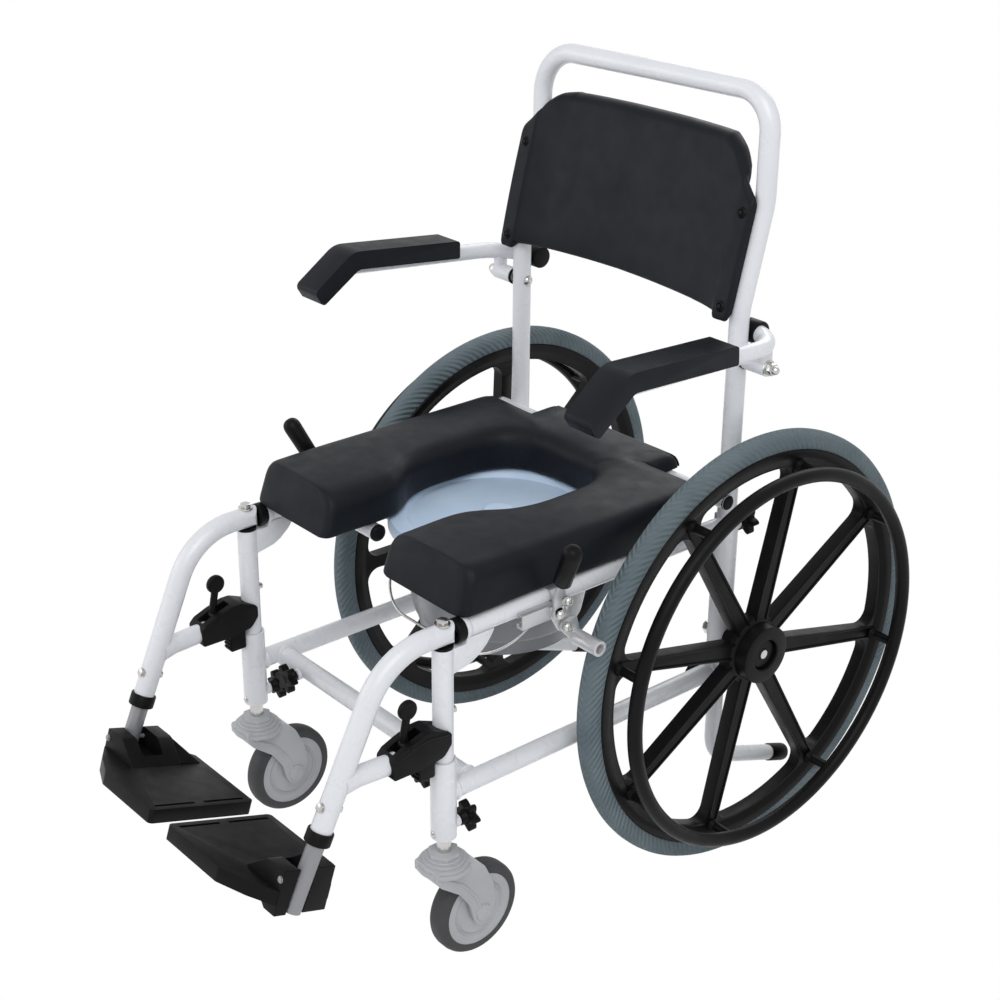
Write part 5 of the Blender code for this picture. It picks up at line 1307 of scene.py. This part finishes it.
def footplate():
    """Tread, raised outer wedge and the two hinge lugs, modelled flat about the hinge."""
    tread = -HINGE_W
    foot = tread - PLATE_T + 0.003

    def across(points):
        """Points given from the chair's middle, moved to the hinge."""
        return [(point[0] - HINGE.x, *point[1:]) for point in points]

    outline = across([(PLATE_INNER, PLATE_FRONT), (WEDGE_INNER, PLATE_FRONT), (0.1680, -0.0550),
                      (0.1985, LUG[0] - 0.0010), (0.1985, LUG[1] + 0.0010), (0.1720, 0.0620),
                      (0.1560, PLATE_REAR), (PLATE_INNER, PLATE_REAR)])
    outline = rounded_outline(outline, [0.006, 0.012, 0.015, 0.0, 0.0, 0.008, 0.008, 0.006], 10)
    plate = bevel(prism(outline, tread - PLATE_T, tread), 0.0015, 3, 50)
    wedge = across([(WEDGE_INNER, tread - 0.0004), (0.1630, LUG_TOP - 0.001), (0.1680, LUG_TOP),
                    (0.1995, LUG_TOP), (0.1995, LUG_FOOT), (0.1780, LUG_FOOT), (0.1560, foot),
                    (WEDGE_INNER, foot)])
    wedge = bevel(prism(wedge, LUG[0], LUG[1], "XZ"), 0.0014, 3, 40)
    grooves = [bevel(box(*across([(PLATE_INNER + 0.0080, a, tread - 0.005),
                                  (PLATE_INNER + 0.0125, b, 0.0)])), 0.0018, 3)
               for a, b in ((PLATE_FRONT + 0.010, -0.004), (0.009, PLATE_REAR - 0.010))]
    plate = cut(plate, *hinge_spaces(tread), *grooves)
    wedge = cut(wedge, *hinge_spaces(tread))
    lug, rear = LUG[1] - 0.001, PLATE_REAR - 0.006
    fairing = wedge_hull(across([
        (0.1560, lug, LUG_TOP - 0.010), (0.1660, lug, LUG_TOP - 0.001), (0.1975, lug, LUG_TOP - 0.001),
        (0.1975, lug, tread - 0.004), (0.1340, lug, tread + 0.003), (0.1340, lug, tread - 0.004),
        (WEDGE_INNER, rear, tread - 0.001), (0.1520, rear, tread - 0.001),
        (0.1705, 0.0600, tread - 0.001), (0.1520, rear, tread - 0.004)]))
    place = Matrix((X, REARWARD, TREAD_UP)).transposed().to_4x4()
    return bake(join(plate, wedge, fairing), Matrix.Translation(HINGE) @ place)


def latch():
    """Swing-away latch: a body round the leg and the strut's end, with a jaw, ridge and teeth."""
    outline = [(-0.0855, 0.3060), (-0.0855, 0.3290), (-0.0785, 0.3360), (-0.0605, 0.3430),
               (-0.0375, 0.3500), (-0.0245, 0.3500), (-0.0030, 0.3410), (0.0005, 0.3370),
               (0.0005, 0.3230), (-0.0105, 0.3095), (-0.0455, 0.3055)]
    radii = [0.004, 0.005, 0.006, 0.03, 0.012, 0.012, 0.005, 0.004, 0.006, 0.012, 0.02]
    outline = rounded_outline([(LEG_Y + u, v) for u, v in outline], radii, 6)
    body = bevel(prism(outline, HALF - 0.0160, HALF + 0.0160, "YZ"), 0.0034, 4, 60)
    gap = TUBE / 2 + RUN
    body = cut(
        body,
        rod(at_leg(0.27), at_leg(0.37), gap),
        box((HALF - gap, LEG_Y, 0.27), (HALF + gap, LEG_Y + 0.04, 0.37)),
        rod(STRUT_FOOT, STRUT_END + Y * GAP, TUBE / 2 + GAP),
        box((HALF - 0.0068, LATCH_PIVOT.y - 0.0220, 0.3250), (HALF + 0.0068, LATCH_PIVOT.y + 0.0200, 0.37)))
    jaw = box((HALF - 0.0110, LEG_Y - 0.0400, 0.2800), (HALF + 0.0060, LEG_Y - 0.0168, 0.3120))
    ridge = [(0.0140, -0.078, 0.3300), (0.0150, -0.040, 0.3430), (0.0150, -0.006, 0.3385)]
    ridge = tube([(HALF + x, LEG_Y + y, z) for x, y, z in ridge], 0.0022, [0.05])
    pin = rod(LATCH_PIVOT - X * 0.0166, LATCH_PIVOT + X * 0.0166, 0.0040)
    teeth = [box((HALF - 0.0100, LEG_Y - 0.0415, z), (HALF + 0.0050, LEG_Y - 0.0380, z + 0.0030))
             for z in (0.2830, 0.2885, 0.2940)]
    return join(body, bevel(jaw, 0.0016, 3), ridge, pin, *[bevel(tooth, 0.0006, 2) for tooth in teeth])


def latch_lever():
    centre = at_leg(0.3818, -0.0522)
    way = (centre - LATCH_PIVOT).normalized()
    bend = LATCH_PIVOT + way * 0.014 + X.cross(way) * 0.0025
    foot = rod(LATCH_PIVOT - X * 0.0060, LATCH_PIVOT + X * 0.0060, 0.0068)
    stem = tube([LATCH_PIVOT, bend, centre - way * 0.006], 0.0048, [0.02])
    disc = bevel(rod(centre - X * 0.0040, centre + X * 0.0040, 0.0125), 0.0024, 4)
    return join(foot, stem, disc)


for build, stem, look in ((hanger_tube, "hanger_tube", "white_paint"),
                          (hanger_bolt, "hanger_bolt", "steel"),
                          (hanger_bush, "hanger_bush", "black_moulding"),
                          (foot_tube, "footrest_tube", "drawn_tube"),
                          (clamp_ring, "clamp_ring", "black_moulding"),
                          (footplate, "footplate", "black_moulding"),
                          (latch, "latch", "black_moulding"),
                          (latch_lever, "latch_lever", "black_moulding")):
    pair(build(), stem, look)
pair(hanger_screw(), "hanger_screw", "steel", "hanger", replaces=False)
bolt = hexagon(at_leg(0.3580, TUBE / 2 - 0.002), at_leg(0.3580, TUBE / 2 + 0.0050), 0.0050, 0.0006)
pair(bolt, "leg_bolt", "steel", "upper_frame", replaces=False)


# Brakes
PIVOT_END = BLADE_X + 0.0040 + GAP    # inner face of the heads on the two pivots
GRIP_LENGTH = 0.063


def brake_channel():
    """Slotted channel along the seat rail, forward of the clamp."""
    front, high, rail = BRAKE_Y - 0.064, BRAKE_Y + 0.011, SEAT_RAIL_Z
    cutter_y = (front - 0.006, BRAKE_Y - 0.017)
    channel = box((PLATE_X - 0.0103, front, rail - 0.0195), (PLATE_X, high, rail - 0.0005))
    return bevel(cut(channel,
                     box((PLATE_X - 0.0080, cutter_y[0], rail - 0.0170),
                         (PLATE_X - 0.002, cutter_y[1], rail - 0.0030)),
                     box((PLATE_X - 0.0155, cutter_y[0], rail - 0.0135),
                         (PLATE_X - 0.0075, cutter_y[1], rail - 0.0065))), 0.0007, 2)


def brake_mount():
    """Rail clamp, side channel and pivot plate with its pins and heads."""
    low, high = BRAKE_Y - 0.011, BRAKE_Y + 0.011
    rail = SEAT_RAIL_Z
    top = box((HALF - 0.03, low - 0.03, rail + 0.0123), (HALF + 0.0155, high + 0.03, 0.50))
    ring = bevel(cut(rod((HALF, low, rail), (HALF, high, rail), 0.0165), top), 0.0008, 2)
    block = bevel(box((HALF, low, rail - 0.0185), (PLATE_X + 0.001, high, rail + 0.0015)), 0.0012, 2)
    middle = (ROLLER_Y - 0.0120, ROLLER_Z + 0.0480)
    outline = capsule([LEVER_PIVOT, middle, CARRIER_PIVOT], [0.009, 0.008, 0.009])
    plate = bevel(prism(outline, PLATE_X, PLATE_X + 0.0030, "YZ"), 0.0006, 2)
    pins = []
    for pivot in (LEVER_PIVOT, CARRIER_PIVOT):
        pins.append(rod((PLATE_X + 0.001, *pivot), (PIVOT_END + 0.001, *pivot), 0.0030))
        pins.append(hexagon((PIVOT_END, *pivot), (PIVOT_END + 0.0035, *pivot), 0.0056, 0.0005))
    for y in (low + 0.006, high - 0.006):
        pins.append(hexagon((PLATE_X - 0.001, y, rail - 0.010), (PLATE_X + 0.0035, y, rail - 0.010),
                            0.0046, 0.0005))
    return join(ring, block, brake_channel(), plate, *pins)


def brake_heads():
    """Domed steel heads over the two pivots and the rail clamp."""
    end = PIVOT_END + 0.0030
    clamp = PLATE_X + 0.0030
    places = [(end, *LEVER_PIVOT), (end, *CARRIER_PIVOT), (clamp, BRAKE_Y - 0.005, SEAT_RAIL_Z - 0.010),
              (clamp, BRAKE_Y + 0.006, SEAT_RAIL_Z - 0.002)]
    profile = [(0, 0.0040), (0.0016, 0.0039), (0.0020, 0.0026), (0.0026, 0.0026), (0.0031, 0.0037),
               (0.0050, 0.0026), (0.0060, 0.0008), (0.0062, -0.0004), (0, -0.0004)]
    return join(*[turned(profile, place, X, 32) for place in places])


def lever_line():
    """Foot, bend, lower end of the grip and tip of the brake lever."""
    tip = Vector(LEVER_TIP)
    base = Vector((BLADE_X + 0.002, *LEVER_PIVOT))
    bend = base + Vector((0, (tip.y - LEVER_PIVOT[0]) * 0.2, 0.022))
    return base, bend, tip + (bend - tip).normalized() * GRIP_LENGTH, tip


def brake_lever():
    base, bend, grip_foot, tip = lever_line()
    eye = bevel(rod((BLADE_X, *LEVER_PIVOT), (BLADE_X + 0.0040, *LEVER_PIVOT), 0.0085), 0.0005, 2)
    path = rounded_path([base, bend, grip_foot + (tip - grip_foot).normalized() * 0.01], [0.03], 12)
    corners = [Y * side + X * out for side, out in ((0.0062, -0.002), (0.0062, 0.002), (-0.0062, 0.002),
                                                    (-0.0062, -0.002))]
    blade = loft([[place + corner for corner in corners] for place in path])
    return join(eye, bevel(blade, 0.0006, 2, 60))


def brake_grip():
    foot, tip = lever_line()[2:]
    length = (tip - foot).length
    profile = [(0, length), (0.0036, length - 0.0003), (0.0069, length - 0.0016), (0.0097, length - 0.0042),
               (0.0115, length - 0.0082), (0.0120, length - 0.0125), (0.0115, length * 0.45),
               (0.0112, 0.0012), (0.0103, 0.0), (0, 0.0)]
    return turned(profile, foot, tip - foot, 64)


def brake_link():
    """Roller carrier with two holes, and the hollow roller."""
    middle = (ROLLER_Y - 0.0050, ROLLER_Z + 0.0230)
    outline = capsule([CARRIER_PIVOT, middle, ROLLER], [0.0075, 0.0060, 0.0075])
    plate = prism(outline, BLADE_X, BLADE_X + 0.0035, "YZ")
    holes = []
    for t in (0.4, 0.6):
        y, z = (a + (b - a) * t for a, b in zip(CARRIER_PIVOT, ROLLER))
        holes.append(rod((BLADE_X - 0.01, y, z + 0.0022), (BLADE_X + 0.01, y, z + 0.0022), 0.0018))
    plate = bevel(cut(plate, *holes), 0.0004, 2)
    roller = rod((BLADE_X + 0.0030, *ROLLER), (BLADE_X + 0.0458, *ROLLER), ROLLER_R)
    roller = cut(roller, rod((BLADE_X + 0.0108, *ROLLER), (BLADE_X + 0.056, *ROLLER), 0.0062))
    return join(plate, bevel(roller, 0.0006, 2))


def brake_piece(build, stem, look, pivot, right_turn, body, replaces=True):
    """The right brake's moving pieces stand turned about their pivot."""
    right = flipped(turned_on(build(), pivot, right_turn))
    both(build(), right, stem, look, body, replaces)


pair(brake_mount(), "brake_mount", "aluminium")
pair(brake_heads(), "brake_heads", "steel", "upper_frame", replaces=False)
brake_piece(brake_lever, "brake_lever", "aluminium", LEVER_PIVOT, RIGHT_LEVER, "brake_lever")
brake_piece(brake_grip, "brake_grip", "black_moulding", LEVER_PIVOT, RIGHT_LEVER, "brake_lever", False)
brake_piece(brake_link, "brake_link", "aluminium", CARRIER_PIVOT, RIGHT_LEVER * BRAKE_RATIO, "brake_link")


# Floor, light and camera
def white_where_seen(tree, lit, plain, output):
    """Plain white to the rays that see the background: camera, glossy and transmission."""
    rays = node(tree, "LightPath", {}).outputs
    seen = combine(tree, "MAXIMUM", rays["Is Camera Ray"], rays["Is Glossy Ray"])
    seen = combine(tree, "MAXIMUM", seen, rays["Is Transmission Ray"])
    mix = node(tree, "MixShader", {"Fac": seen, 1: lit.outputs[0], 2: plain.outputs[0]})
    feed(tree, mix.outputs["Shader"], tree.nodes[output].inputs["Surface"])


def floor():
    mesh = bmesh.new()
    bmesh.ops.create_grid(mesh, x_segments=2, y_segments=2, size=9.0)
    obj = from_bmesh(mesh)
    obj.name = "floor"
    found = bpy.data.materials.new("floor")
    found.use_nodes = True
    tree = found.node_tree
    shader = tree.nodes["Principled BSDF"]
    grey = ramp(tree, noise(tree, 3.0, 2.0, (1, 1, 1)), (0.90, 0.90, 0.90), (0.93, 0.93, 0.93))
    for socket, value in (("Roughness", 0.9), ("Specular IOR Level", 0.1), ("Base Color", grey)):
        feed(tree, value, shader.inputs[socket])
    white_where_seen(tree, shader, node(tree, "Emission", {"Strength": 1.0}), "Material Output")
    obj.data.materials.append(found)
    obj.location.z = -0.0005


def backdrop():
    world = bpy.data.worlds.new("studio")
    bpy.context.scene.world = world
    world.use_nodes = True
    tree = world.node_tree
    soft = tree.nodes["Background"]
    feed(tree, (0.95, 0.97, 1.0, 1.0), soft.inputs["Color"])
    feed(tree, 0.55, soft.inputs["Strength"])
    white_where_seen(tree, soft, node(tree, "Background", {"Strength": 1.0}), "World Output")


def lamp(name, place, aim, size, power):
    data = bpy.data.lights.new(name, "AREA")
    data.shape = "RECTANGLE"
    data.size, data.size_y = size
    data.energy = power
    obj = link(data)
    obj.name = name
    way = Vector(aim) - Vector(place)
    obj.matrix_world = Matrix.Translation(place) @ way.to_track_quat("-Z", "Y").to_matrix().to_4x4()


# The photograph's view: angles from degrees, the lens in millimetres, the distance in metres
AZIMUTH = math.radians(49.5908)
ELEVATION = math.radians(24.584)
ROLL = math.radians(0.45)
LENS = 66.0728
DISTANCE = 2.3906
AIM = Vector((0, AXLE_Y - 0.215, 0.4845))


def camera():
    out = Vector((math.sin(AZIMUTH) * math.cos(ELEVATION), -math.cos(AZIMUTH) * math.cos(ELEVATION),
                  math.sin(ELEVATION)))
    right = (-out).cross(Z).normalized()
    up = right.cross(-out)
    side = right * math.cos(ROLL) + up * math.sin(ROLL)
    top = -right * math.sin(ROLL) + up * math.cos(ROLL)
    data = bpy.data.cameras.new("camera")
    data.sensor_width = 36.0
    data.lens = LENS
    data.clip_start = 0.05
    data.clip_end = 60.0
    obj = link(data)
    obj.name = "camera"
    turn = Matrix((side, top, out)).transposed().to_4x4()
    obj.matrix_world = Matrix.Translation(AIM + out * DISTANCE) @ turn
    bpy.context.scene.camera = obj


floor()
backdrop()
lamp("key", (2.2, -1.6, 3.2), (0, 0, 0.5), (2.6, 2.6), 62)
lamp("fill", (-2.4, -2.6, 1.6), (0, 0, 0.5), (2.6, 2.0), 22)
lamp("rim", (-1.2, 2.6, 2.4), (0, 0, 0.7), (2.2, 1.6), 26)
camera()
bpy.context.scene.view_settings.view_transform = "Standard"
